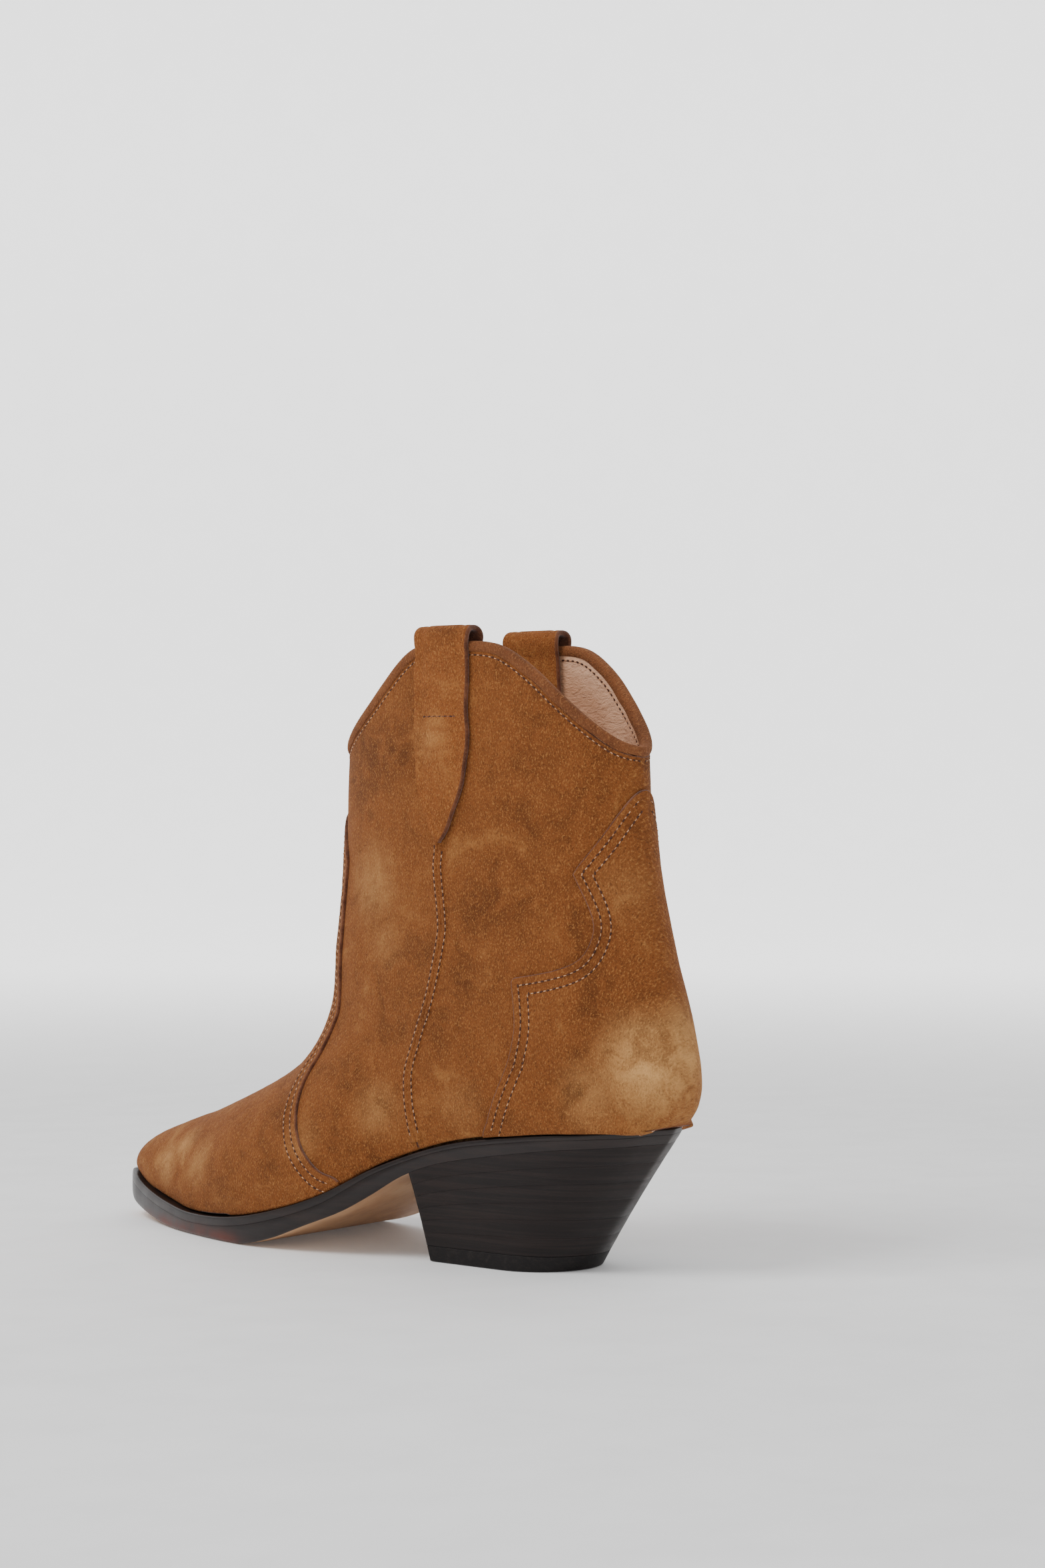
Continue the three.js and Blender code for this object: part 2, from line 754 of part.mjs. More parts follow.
function makeFiller() {
  return bottomSheet({
    grow: () => -marginWidth,
    top: (u) => featherHeight(u) + wallThick,
    bottom: featherHeight,
    clear: fitGap,
  }).subtract(waistStrip(fitGap, shankBottom, wallThick + 2));
}

// ---- Heel ----

// Seat outline of the heel and its outline on the floor at one row: straight sides from
// the breast to the round row, then a half circle round the back.
function heelEdge(row, side) {
  const sideShare = THREE.MathUtils.clamp((row - breastRow) / (roundRow - breastRow), 0, 1);
  const angle = Math.max((row - roundRow) / (backRow - roundRow), 0) * Math.PI / 2;
  const roundCentre = alongOf(heelBottomBack) + heelBottomHalfWidth;
  const sideU = THREE.MathUtils.lerp(alongOf(heelBottomFront), roundCentre, sideShare);
  const floorU = sideU - heelBottomHalfWidth * Math.sin(angle);
  const floorHalf = Math.max(heelBottomHalfWidth * Math.cos(angle), 0.3);
  const seat = featherPoint(row, side, ledgeAt(row));
  return {
    seat: place(seat.x, seat.y, treadHeight(seat.x) - fitGap),
    floor: place(floorU, heelBottomCentre + side * floorHalf, 0),
  };
}

// A slice of the heel between two levels; a level turns a pair of edge points into one.
function heelSlice(upperLevel, lowerLevel) {
  const rings = outlineRows(breastRow, backRow).map((row) => {
    const [outer, inner] = [heelEdge(row, 1), heelEdge(row, -1)];
    return [upperLevel(outer), upperLevel(inner), lowerLevel(inner), lowerLevel(outer)];
  });
  return loft(rings);
}

// Level between the seat (0) and the plane above the top piece (1), lowered by a drop.
function wedgeLevel(share, drop = 0) {
  return ({ seat, floor }) => {
    const height = THREE.MathUtils.lerp(seat.z, topPieceThick + fitGap, share) - drop;
    return floor.clone().lerp(seat, height / seat.z);
  };
}

function flatLevel(height) {
  return ({ seat, floor }) => floor.clone().lerp(seat, height / seat.z);
}

function makeHeelLift(number) {
  const drop = number === 1 ? 0 : fitGap;
  return heelSlice(wedgeLevel((number - 1) / liftCount, drop), wedgeLevel(number / liftCount));
}

function makeTopPiece() {
  return heelSlice(flatLevel(topPieceThick), flatLevel(0));
}

// ---- Fasteners driven down square to the seat ----

function seatFrame([drawnU, x]) {
  const u = alongOf(drawnU);
  const slope = (featherHeight(u + 5) - featherHeight(u - 5)) / 10;
  const down = place(slope, 0, -1).normalize();
  const start = place(u, x, featherHeight(u) + wallThick + fitGap);
  const turn = new THREE.Quaternion().setFromUnitVectors(new THREE.Vector3(0, -1, 0), down);
  return { start, turn };
}

// A headed pin: the head lies in the insole board and the shank runs down below it.
function pin(spot, radius, length, grow) {
  const headRadius = 2 * radius + grow;
  const headTop = boardThick - fitGap + 2 * grow;
  const headBottom = fitGap - 2 * grow;
  const tip = 2 * radius;
  const profile = [
    [0, -length - grow], [radius * 0.4 + grow, -length - grow], [radius + grow, -length + tip],
    [radius + grow, headBottom], [headRadius, headBottom], [headRadius, headTop], [0, headTop],
  ].map(([r, y]) => new THREE.Vector2(r, y));
  const geometry = new THREE.LatheGeometry(profile, 6);
  const { start, turn } = seatFrame(spot);
  geometry.applyQuaternion(turn);
  geometry.translate(start.x, start.y, start.z);
  return solidOf(geometry);
}

const pins = [
  ...nailPlaces.map((spot, k) => ({ name: `heel_nail_${k + 1}`, spot, radius: nailRadius, length: nailLength })),
  { name: 'heel_screw', spot: screwPlace, radius: screwRadius, length: screwLength },
];

function drilled(solid) {
  return pins.reduce(
    (rest, { spot, radius, length }) => rest.subtract(pin(spot, radius, length, holeClearance)),
    solid,
  );
}

// ---- Scene ----

const suede = { color: 0xa5733f, roughness: 0.95, metalness: 0 };
const lining = { color: 0xc9a893, roughness: 0.6, metalness: 0 };
const bindingSuede = { color: 0x8a5a35, roughness: 0.9, metalness: 0 };
const darkLeather = { color: 0x2a211d, roughness: 0.45, metalness: 0 };
const soleLeather = { color: 0x33261f, roughness: 0.5, metalness: 0 };
const rubber = { color: 0x1b1a1a, roughness: 0.7, metalness: 0 };
const board = { color: 0x9c7f60, roughness: 0.9, metalness: 0 };
const cork = { color: 0xb08a5c, roughness: 1, metalness: 0 };
const stiffener = { color: 0xd8d2c4, roughness: 0.9, metalness: 0 };
const steel = { color: 0x8f9296, roughness: 0.35, metalness: 1 };

const boot = new THREE.Group();

function addPiece(name, solid, finish) {
  const mesh = new THREE.Mesh(geometryOf(solid), new THREE.MeshStandardMaterial(finish));
  mesh.name = name;
  boot.add(mesh);
}

addPiece('outsole', drilled(makeOutsole()), soleLeather);
addPiece('midsole_welt', drilled(makeWelt()), darkLeather);
for (let number = 1; number <= liftCount; number += 1) {
  addPiece(`heel_lift_${number}`, drilled(makeHeelLift(number)), darkLeather);
}
addPiece('top_piece', makeTopPiece(), rubber);
addPiece('insole_board', drilled(makeInsoleBoard()), board);
addPiece('bottom_filler', drilled(makeFiller()), cork);
addPiece('shank', drilled(makeShank()), steel);
addPiece('sock_lining', makeSockLining(), lining);
for (const { name, spot, radius, length } of pins) {
  addPiece(name, pin(spot, radius, length, 0), steel);
}
addPiece('vamp', makeVamp(), suede);
addPiece('counter_overlay', makeCounterOverlay(), suede);
addPiece('shaft_front', makeShaftFront(), suede);
addPiece('shaft_back', makeShaftBack(), suede);
addPiece('vamp_backer', makeVampBacker(), stiffener);
addPiece('toe_puff', makeToePuff(), stiffener);
addPiece('heel_stiffener', makeHeelStiffener(), stiffener);
addPiece('vamp_lining', makeVampLining(), lining);
addPiece('lining_front', makeFrontLining(), lining);
addPiece('lining_back', makeBackLining(), lining);
addPiece('top_binding', makeTopBinding(), bindingSuede);
for (const [label, side] of [['outer', 1], ['inner', -1]]) {
  addPiece(`seam_strip_${label}`, makeSeamStrip(side), suede);
  addPiece(`pull_strap_${label}`, makePullStrap(side), suede);
}

// The origin is the middle of the boot's outline, on the floor.
const box = new THREE.Box3().setFromObject(boot);
const middle = box.getCenter(new THREE.Vector3());
boot.position.set(-middle.x, -middle.y, -box.min.z);

const group = new THREE.Group();
group.add(boot);
group.updateMatrixWorld(true);

export default group;
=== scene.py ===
import math

import bmesh
import bpy
import numpy as np
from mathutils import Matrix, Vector


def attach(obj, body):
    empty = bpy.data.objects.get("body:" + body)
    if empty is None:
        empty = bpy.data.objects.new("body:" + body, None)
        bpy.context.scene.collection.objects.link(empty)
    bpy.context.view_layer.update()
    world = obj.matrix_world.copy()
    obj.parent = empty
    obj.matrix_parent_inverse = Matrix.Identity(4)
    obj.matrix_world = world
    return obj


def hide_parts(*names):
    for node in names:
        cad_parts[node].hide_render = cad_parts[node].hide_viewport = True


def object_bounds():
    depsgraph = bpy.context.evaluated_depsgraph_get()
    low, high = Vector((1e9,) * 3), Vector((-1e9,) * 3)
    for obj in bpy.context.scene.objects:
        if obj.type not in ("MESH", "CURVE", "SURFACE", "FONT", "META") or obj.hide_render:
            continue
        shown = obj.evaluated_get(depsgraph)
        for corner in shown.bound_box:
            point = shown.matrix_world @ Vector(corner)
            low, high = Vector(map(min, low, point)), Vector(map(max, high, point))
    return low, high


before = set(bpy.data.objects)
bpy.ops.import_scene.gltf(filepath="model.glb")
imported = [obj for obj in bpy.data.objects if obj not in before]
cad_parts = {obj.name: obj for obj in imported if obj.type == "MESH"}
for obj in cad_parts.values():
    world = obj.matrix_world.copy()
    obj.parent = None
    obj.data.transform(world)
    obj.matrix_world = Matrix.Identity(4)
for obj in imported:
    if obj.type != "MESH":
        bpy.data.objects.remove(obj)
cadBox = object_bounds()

# Lengths are in millimetres until a mesh is made. u runs along the boot, 0 at the back of the seat and
# growing towards the toe; x is to the outer side of the foot; z is the height.
soleTip = 262.4        # u of the tip of the sole
middleX = 0.78         # x of the middle of the boot's box
zeroU = soleTip + cadBox[0][1] * 1000
seed = np.random.default_rng(11)


def bell(value, centre, spread):
    return np.exp(-(((value - centre) / spread) ** 2))


def smooth(value, low, high):
    t = np.clip((value - low) / (high - low), 0, 1)
    return t * t * (3 - 2 * t)


def mix(a, b, t):
    return a + (b - a) * t


# smooth curve through points, t counted in points
def curveAt(points, t):
    points = np.asarray(points, float)
    last = len(points) - 1
    t = np.clip(np.asarray(t, float), 0, last)
    k = np.minimum(t.astype(int), last - 1)
    w = (t - k)[..., None]
    a, b, c, d = (points[np.clip(k + s, 0, last)] for s in (-1, 0, 1, 2))
    e = (c - a) / 2
    f = (d - b) / 2
    return (2 * b - 2 * c + e + f) * w ** 3 + (3 * c - 3 * b - 2 * e - f) * w ** 2 + e * w + b


def resampled(points, spacing):
    points = np.asarray(points, float)
    steps = np.linalg.norm(np.diff(points, axis=0), axis=1)
    length = np.concatenate([[0], np.cumsum(steps)])
    count = max(int(round(length[-1] / spacing)), 1)
    at = np.linspace(0, length[-1], count + 1)
    return np.stack([np.interp(at, length, points[:, k]) for k in range(points.shape[1])], 1)


def smoothLine(points, spacing=1.5):
    return resampled(curveAt(points, np.linspace(0, len(points) - 1, 12 * len(points))), spacing)


def joined(*lines):
    parts = [smoothLine(lines[0])]
    for line in lines[1:]:
        parts.append(smoothLine(line)[1:])
    return np.concatenate(parts)


# line moved to the left of its direction
def shifted(line, distance):
    along = np.gradient(line, axis=0)
    along /= np.linalg.norm(along, axis=1)[:, None]
    return line + distance * np.stack([-along[:, 1], along[:, 0]], 1)


# soft bumps without a pattern, about -1 to 1
def ripple(points, wavelength, phase=0.0):
    total = np.zeros(points.shape[:-1])
    for k in range(7):
        angle = 2.4 * k + phase
        tilt = 0.9 * math.sin(1.7 * k + phase)
        level = math.cos(tilt)
        direction = np.array([math.cos(angle) * level, math.sin(angle) * level, math.sin(tilt)])
        size = 2 * math.pi / (wavelength * (0.75 + 0.12 * k))
        total += np.sin(points @ direction * size + 1.3 * k + 3 * phase)
    return total / 4


# straight sections in side view, toe tip to mouth: top u, z, base u, z, widest half, base half,
# and how far the middle stands to the outer side at the top and at the base
lastSections = [
    [259.2, 18.2, 259.2, 17.4, 0.6, 0.5, -4, -4],
    [258.8, 21.8, 257.0, 16.7, 6.2, 5.4, -4, -4],
    [255.8, 26.6, 250.4, 15.0, 11.4, 10.2, -4, -4],
    [247.4, 31.8, 239.4, 12.4, 17.2, 15.8, -4, -4],
    [230.0, 38.3, 221.0, 9.6, 25.2, 23.8, -4, -3.8],
    [209.0, 45.2, 200.0, 8.0, 33.2, 31.8, -4, -3.2],
    [190.0, 52.9, 174.0, 9.4, 39.8, 38.4, -3.6, -2],
    [175.5, 60.1, 150.0, 14.0, 40.7, 39.3, -3, 0.4],
    [165.0, 66.8, 127.0, 21.4, 38.2, 35.6, -2.4, 2.8],
    [158.2, 73.8, 103.0, 33.2, 35.8, 30.8, -1.8, 3.2],
    [154.2, 81.4, 76.0, 42.2, 34.0, 28.8, -1.2, 1.4],
    [151.9, 89.8, 45.0, 47.0, 33.2, 28.2, -0.8, 0.3],
    [150.5, 98.2, 18.0, 49.3, 32.8, 24.6, -0.4, 0],
    [149.6, 105.6, 2.0, 50.6, 32.4, 15.6, -0.2, 0],
    [148.8, 112.0, -5.2, 54.2, 32.0, 0.4, 0, 0],
    [147.7, 120.0, -8.4, 66.0, 31.6, 0.4, 0, 0],
    [146.3, 131.0, -5.4, 86.0, 31.2, 0.4, 0, 0],
    [145.3, 147.0, 1.8, 110.0, 30.8, 0.4, 0, 0],
    [145.0, 167.0, 8.4, 142.0, 30.4, 0.4, 0, 0],
    [144.4, 192.0, 10.4, 180.0, 29.8, 0.4, 0, 0],
    [142.8, 232.0, 9.4, 232.0, 28.2, 0.4, 0, 0],
]
lastRow = len(lastSections) - 1
backRow = 13.9         # rearmost row of the seat
breastRow = 9.45       # row over the heel breast
roundRow = 11.6        # row where the heel's sides turn into its back


def place(u, x, z):
    u, x, z = np.broadcast_arrays(u, x, z)
    return np.stack([x + middleX, zeroU - u, z], -1)


def sectionAt(row):
    topU, topZ, baseU, baseZ, widest, baseHalf, topX, baseX = np.moveaxis(curveAt(lastSections, row), -1, 0)
    baseHalf = np.maximum(baseHalf, 0.3)
    widest = np.maximum(widest, baseHalf + 0.1)
    topPower = 1 + 0.15 * bell(row, 9, 3)
    basePower = 1 - 0.18 * bell(row, 14, 2.5)
    lastAngle = math.pi - np.arcsin(np.minimum(1, baseHalf / widest) ** (1 / basePower))
    return topU, topZ, baseU, baseZ, widest, topX, baseX, topPower, basePower, lastAngle


# around runs from -1 at the outer base, over 0 at the top, to 1 at the inner base
def bareSkin(row, around):
    row, around = np.broadcast_arrays(np.asarray(row, float), np.asarray(around, float))
    topU, topZ, baseU, baseZ, widest, topX, baseX, topPower, basePower, lastAngle = sectionAt(row)
    angle = np.abs(around) * lastAngle
    share = (1 - np.cos(angle)) / (1 - np.cos(lastAngle))
    power = np.where(angle < math.pi / 2, topPower, basePower)
    half = widest * np.maximum(np.sin(angle), 0) ** power
    x = mix(topX, baseX, share) + np.where(around < 0, 1, -1) * half
    return place(mix(topU, baseU, share), x, mix(topZ, baseZ, share))


def skinNormal(row, around):
    step = 0.02
    row = np.clip(row, step, lastRow - step)
    around = np.clip(around, -1 + step, 1 - step)
    alongStep = bareSkin(row + step, around) - bareSkin(row - step, around)
    aroundStep = bareSkin(row, around + step) - bareSkin(row, around - step)
    normal = np.cross(alongStep, aroundStep)
    return normal / np.maximum(np.linalg.norm(normal, axis=-1), 1e-9)[..., None]


# the leather isn't dead flat: slow waves, the same for every layer
waves = {"height": 0.28, "length": 62, "smallHeight": 0.12, "smallLength": 23, "sink": 0.2}


def skin(row, around, depth=0.0):
    point = bareSkin(row, around)
    normal = skinNormal(row, around)
    wave = waves["height"] * ripple(point, waves["length"])
    wave = wave + waves["smallHeight"] * ripple(point, waves["smallLength"], 2.1) - waves["sink"]
    return point + normal * (wave - depth)[..., None]


# row and around of the side-view point (u, z) on the outer side (1) or the inner side (-1)
def onSkin(line, side):
    u, z = line[:, 0], line[:, 1]
    low = np.zeros(len(u))
    high = np.full(len(u), float(lastRow))

    def across(row):
        topU, topZ, baseU, baseZ = sectionAt(row)[:4]
        return (baseU - topU) * (z - topZ) - (baseZ - topZ) * (u - topU)

    for _ in range(34):
        row = (low + high) / 2
        ahead = across(row) > 0
        high = np.where(ahead, row, high)
        low = np.where(ahead, low, row)
    row = (low + high) / 2
    topU, topZ, baseU, baseZ = sectionAt(row)[:4]
    lastAngle = sectionAt(row)[-1]
    share = ((topU - u) * (topU - baseU) + (topZ - z) * (topZ - baseZ)) / (
        (topU - baseU) ** 2 + (topZ - baseZ) ** 2)
    inside = (share >= -0.002) & (share <= 1.002)
    angle = np.arccos(np.clip(1 - np.clip(share, 0, 1) * (1 - np.cos(lastAngle)), -1, 1))
    return np.stack([row, -side * angle / lastAngle], 1)[inside]


# row and around after a step over the surface by a 3-D vector
def stepped(spots, vector, steps=4):
    spots = spots.copy()
    for _ in range(steps):
        row = np.clip(spots[:, 0], 0.03, lastRow - 0.03)
        around = np.clip(spots[:, 1], -0.985, 0.985)
        byRow = (bareSkin(row + 0.02, around) - bareSkin(row - 0.02, around)) / 0.04
        byAround = (bareSkin(row, around + 0.01) - bareSkin(row, around - 0.01)) / 0.02
        part = vector / steps
        a = (byRow * byRow).sum(1)
        b = (byRow * byAround).sum(1)
        c = (byAround * byAround).sum(1)
        p = (byRow * part).sum(1)
        q = (byAround * part).sum(1)
        det = np.maximum(a * c - b * b, 1e-9)
        spots[:, 0] += (c * p - b * q) / det
        spots[:, 1] += (a * q - b * p) / det
    return spots


# path on the surface moved sideways: to the left of its direction seen from outside
def besidePath(path, distance):
    point = bareSkin(path[:, 0], path[:, 1])
    along = np.gradient(point, axis=0)
    along /= np.maximum(np.linalg.norm(along, axis=1), 1e-9)[:, None]
    left = np.cross(skinNormal(path[:, 0], path[:, 1]), along)
    return stepped(path, left * np.reshape(distance, (-1, 1)))


topLine = [
    [154, 180.5], [144.5, 181], [136, 185.2], [117, 198], [100.3, 211.6], [90, 216.4], [76, 217],
    [62, 217], [52, 214.4], [40.9, 207], [29.9, 196.8], [20.4, 188], [11.5, 181], [3, 179], [-12, 178.5],
]
vampEdge = [
    [117, 12], [119.5, 25.9], [127.7, 29.8], [135.7, 36.7], [141.5, 45.1], [145, 53.5], [145.6, 62],
    [142.5, 73], [138, 85],
]
tongueEdge = [[138, 85], [138.6, 96], [138.2, 113], [136.8, 128], [134.6, 140]]
tongueTip = [[134.6, 140], [139.5, 149.5], [149, 166]]
counterFront = [
    [61.5, 38], [59.6, 45.9], [56.4, 51.8], [48.1, 71.7], [45.4, 82.8], [45.6, 91.2], [46.9, 101.1],
]
counterBelly = [
    [46.9, 101.1], [32.6, 103.8], [23.3, 107.4], [19.3, 113.8], [19.3, 122.2], [26.5, 137.2],
]
counterTip = [[26.5, 137.2], [18, 150.1], [9, 168.5]]
sideSeam = [
    [86, 30], [87.5, 41], [91, 59.5], [91.2, 70.6], [84, 90.9], [78.5, 112.2], [77.8, 121],
    [80, 138.2], [79.4, 147], [78.6, 190], [78.6, 240],
]
liningSplit = [[110, 10], [128, 50], [140, 78], [152, 92], [175, 98]]

vampOutline = joined(vampEdge, tongueEdge, tongueTip)
counterOutline = joined(counterFront, counterBelly, counterTip)
seamLine = smoothLine(sideSeam)
topOutline = smoothLine(topLine)

joinedFrom = 13.0      # from this row on the two sides meet along the back
footLine = curveAt(lastSections, np.linspace(joinedFrom, 0, 200))[:, 2:4]


def footHeight(u):
    return np.interp(u, footLine[:, 0], footLine[:, 1])


# height above the line where the upper meets the sole
def footTrim(point):
    u = zeroU - point[..., 1]
    lifted = smooth(u, -1, 13) * (1 - smooth(u, 232, 250))
    return point[..., 2] - footHeight(u) - mix(-0.45, 0.3, lifted)


# signed distance in side view: positive to the right of the line's direction
def sideOf(line, point):
    u = zeroU - point[..., 1]
    z = point[..., 2]
    best = np.full(u.shape, 1e9)
    value = np.zeros(u.shape)
    first, last = line[1] - line[0], line[-1] - line[-2]
    line = np.concatenate([[line[0] - first / np.linalg.norm(first) * 300], line])
    line = np.concatenate([line, [line[-1] + last / np.linalg.norm(last) * 300]])
    for a, b in zip(line[:-1], line[1:]):
        d = b - a
        t = np.clip(((u - a[0]) * d[0] + (z - a[1]) * d[1]) / (d @ d), 0, 1)
        du, dz = u - a[0] - t * d[0], z - a[1] - t * d[1]
        away = du * du + dz * dz
        nearer = away < best
        best = np.where(nearer, away, best)
        value = np.where(nearer, np.sign(dz * d[0] - du * d[1]) * -1, value)
    return value * np.sqrt(best)


# points in millimetres; faceFinish gives each face one of the finishes by number
def makePiece(name, points, faces, finishes, faceFinish=None, replaced=()):
    mesh = bpy.data.meshes.new(name)
    mesh.from_pydata((np.asarray(points) * 0.001).tolist(), [], [list(map(int, f)) for f in faces])
    for material in finishes:
        mesh.materials.append(material)
    if faceFinish is not None:
        mesh.polygons.foreach_set("material_index", np.asarray(faceFinish, np.int32))
    mesh.polygons.foreach_set("use_smooth", np.ones(len(mesh.polygons), bool))
    mesh.validate()
    outward = bmesh.new()
    outward.from_mesh(mesh)
    bmesh.ops.recalc_face_normals(outward, faces=outward.faces)
    outward.to_mesh(mesh)
    outward.free()
    piece = bpy.data.objects.new(name, mesh)
    bpy.context.scene.collection.objects.link(piece)
    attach(piece, "root")
    if replaced:
        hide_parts(*replaced)


def gridFaces(rows, columns, closedRows=False, closedColumns=False):
    faces = []
    for r in range(rows - (0 if closedRows else 1)):
        for c in range(columns - (0 if closedColumns else 1)):
            a = r * columns + c
            b = r * columns + (c + 1) % columns
            d = (r + 1) % rows * columns
            faces.append([a, b, d + (c + 1) % columns, d + c])
    return faces


# drops the corners that no face uses
def packed(grid, faces):
    used = sorted({k for face in faces for k in face})
    new = {k: i for i, k in enumerate(used)}
    return grid[used], [[new[k] for k in face] for face in faces]


# keeps the part of each face where the value is positive, cutting the faces on the line
def trimmed(params, faces, value):
    params = list(params)
    value = list(value)
    cuts = {}
    kept = []
    for face in faces:
        sides = [value[k] > 0 for k in face]
        if all(sides):
            kept.append(face)
            continue
        if not any(sides):
            continue
        ring = []
        for a, b in zip(face, face[1:] + face[:1]):
            if value[a] > 0:
                ring.append(a)
            if (value[a] > 0) != (value[b] > 0):
                key = (min(a, b), max(a, b))
                if key not in cuts:
                    t = value[key[0]] / (value[key[0]] - value[key[1]])
                    params.append(params[key[0]] + (params[key[1]] - params[key[0]]) * t)
                    value.append(0.0)
                    cuts[key] = len(params) - 1
                ring.append(cuts[key])
        if len(ring) > 2:
            kept.append(ring)
    return packed(np.array(params), kept)


# the grid each leather piece is cut from, and how close its corners may lie
skinGrid = {"rows": 230, "columns": 132, "closest": 0.25}
edgeRound = 0.42       # how far a raw edge rounds out, in mm
footFold = {"radius": 0.85, "width": 5.0, "thick": 1.1}


# a piece of the upper: the last's skin, trimmed, at a depth, with its thickness and round raw edges
def leatherPiece(name, trims, outer, thick, finishes, replaced, press=None):
    rows = np.linspace(0, lastRow, skinGrid["rows"] + 1)
    arounds = np.linspace(-1, 1, skinGrid["columns"] + 1)
    grid = np.stack(np.meshgrid(rows, arounds, indexing="ij"), -1).reshape(-1, 2)
    faces = [face[::-1] for face in gridFaces(len(rows), len(arounds))]
    width = len(arounds)
    for r in np.flatnonzero(rows[:-1] > joinedFrom):
        start = int(r) * width
        faces.append([start + width - 1, start + 2 * width - 1, start + width, start])
    for trim in trims:
        grid, faces = trimmed(grid, faces, trim(bareSkin(grid[:, 0], grid[:, 1])) - edgeRound)
    grid, faces = weldedGrid(grid, faces, skinGrid["closest"])
    top = skin(grid[:, 0], grid[:, 1], outer)
    normal = skinNormal(grid[:, 0], grid[:, 1])
    if press is not None:
        top = top - normal * press(grid, top)[:, None]
    foot = footTrim(bareSkin(grid[:, 0], grid[:, 1])) < edgeRound + 0.1
    shelled(name, top, normal, faces, thick, finishes, replaced, foot)


# joins each corner to a neighbour that lies closer than a distance
def weldedGrid(grid, faces, distance):
    point = bareSkin(grid[:, 0], grid[:, 1])
    target = np.arange(len(grid))
    leads = set()
    for face in faces:
        for a, b in zip(face, face[1:] + face[:1]):
            first, second = sorted((a, b))
            first = int(target[first])
            if first == second or target[second] != second or second in leads:
                continue
            if np.abs(point[first] - point[second]).max() > distance:
                continue
            if np.linalg.norm(point[first] - point[second]) < distance:
                target[second] = first
                leads.add(first)
    kept = []
    for face in faces:
        ring = []
        for k in face:
            if target[k] not in ring:
                ring.append(int(target[k]))
        if len(ring) > 2:
            kept.append(ring)
    return packed(grid, kept)


# both faces of a sheet and the rim between them; at the foot the sheet folds in under the boot
def shelled(name, top, normal, faces, thick, finishes, replaced, foot):
    count = len(top)
    bottom = top - normal * thick
    points = [top, bottom]
    allFaces = faces + [[k + count for k in face] for face in faces]
    kind = [0] * len(faces) + [1] * len(faces)
    border = {}
    outward = np.zeros((count, 3))
    directed = {}
    for face in faces:
        for a, b in zip(face, face[1:] + face[:1]):
            directed[(a, b)] = face
    for (a, b), face in directed.items():
        if (b, a) not in directed:
            border[a] = b
            side = np.cross(top[b] - top[a], normal[a] + normal[b])
            outward[a] += side
            outward[b] += side
    outward /= np.maximum(np.linalg.norm(outward, axis=1), 1e-9)[:, None]
    inner = min(edgeRound, thick / 2)
    bends = (0.5, 1.05, math.pi / 2)
    raw = [(edgeRound * math.sin(t), inner - inner * math.cos(t)) for t in bends]
    raw += [(edgeRound * math.sin(t), thick - inner + inner * math.cos(t)) for t in (1.05, 0.5)]
    bend, width = footFold["radius"], footFold["width"]
    folded = [(bend * math.sin(t), bend - bend * math.cos(t)) for t in bends]
    folded += [(bend, width), (bend - footFold["thick"], width)]
    ringOf = {}
    borderPoints = sorted(border)
    atFoot = foot[borderPoints][:, None]
    at = 2 * count
    for k in range(len(raw)):
        ringOf[k] = {p: at + i for i, p in enumerate(borderPoints)}
        out, depth = (np.where(atFoot, folded[k][c], raw[k][c]) for c in (0, 1))
        points.append(top[borderPoints] + outward[borderPoints] * out - normal[borderPoints] * depth)
        at += len(borderPoints)
    for a, b in border.items():
        chain = [(a, b)] + [(ringOf[k][a], ringOf[k][b]) for k in range(len(raw))]
        chain.append((a + count, b + count))
        for (p, q), (r, s) in zip(chain[:-1], chain[1:]):
            allFaces.append([q, p, r, s])
            kind.append(0 if foot[a] else 1)
    makePiece(name, np.concatenate(points), allFaces, finishes, kind, replaced)


# a round-cornered band swept along a path, from rings of points
def sweptPiece(name, rings, finishes, replaced=(), closed=False, ringFinish=None):
    rings = np.asarray(rings)
    rows, columns = rings.shape[:2]
    faces = gridFaces(rows, columns, closedRows=closed, closedColumns=True)
    kind = [0 if ringFinish is None else ringFinish[k % columns] for k in range(len(faces))]
    if not closed:
        faces.append(list(range(columns)))
        faces.append([(rows - 1) * columns + k for k in range(columns)])
        kind += [kind[0], kind[0]]
    points = rings.reshape(-1, 3)
    makePiece(name, points, faces, finishes, kind, replaced)


stitch = {
    "pitch": 2.45, "length": 1.3, "radius": 0.2, "rise": 0.06, "endDip": 0.3, "slant": 0.12,
    "rings": 6, "sides": 6, "holeSides": 8, "holeLength": 1.35, "holeWidth": 0.36,
    "holeLift": 0.05, "holeDepth": 0.5, "holeNarrow": 0.64,
}


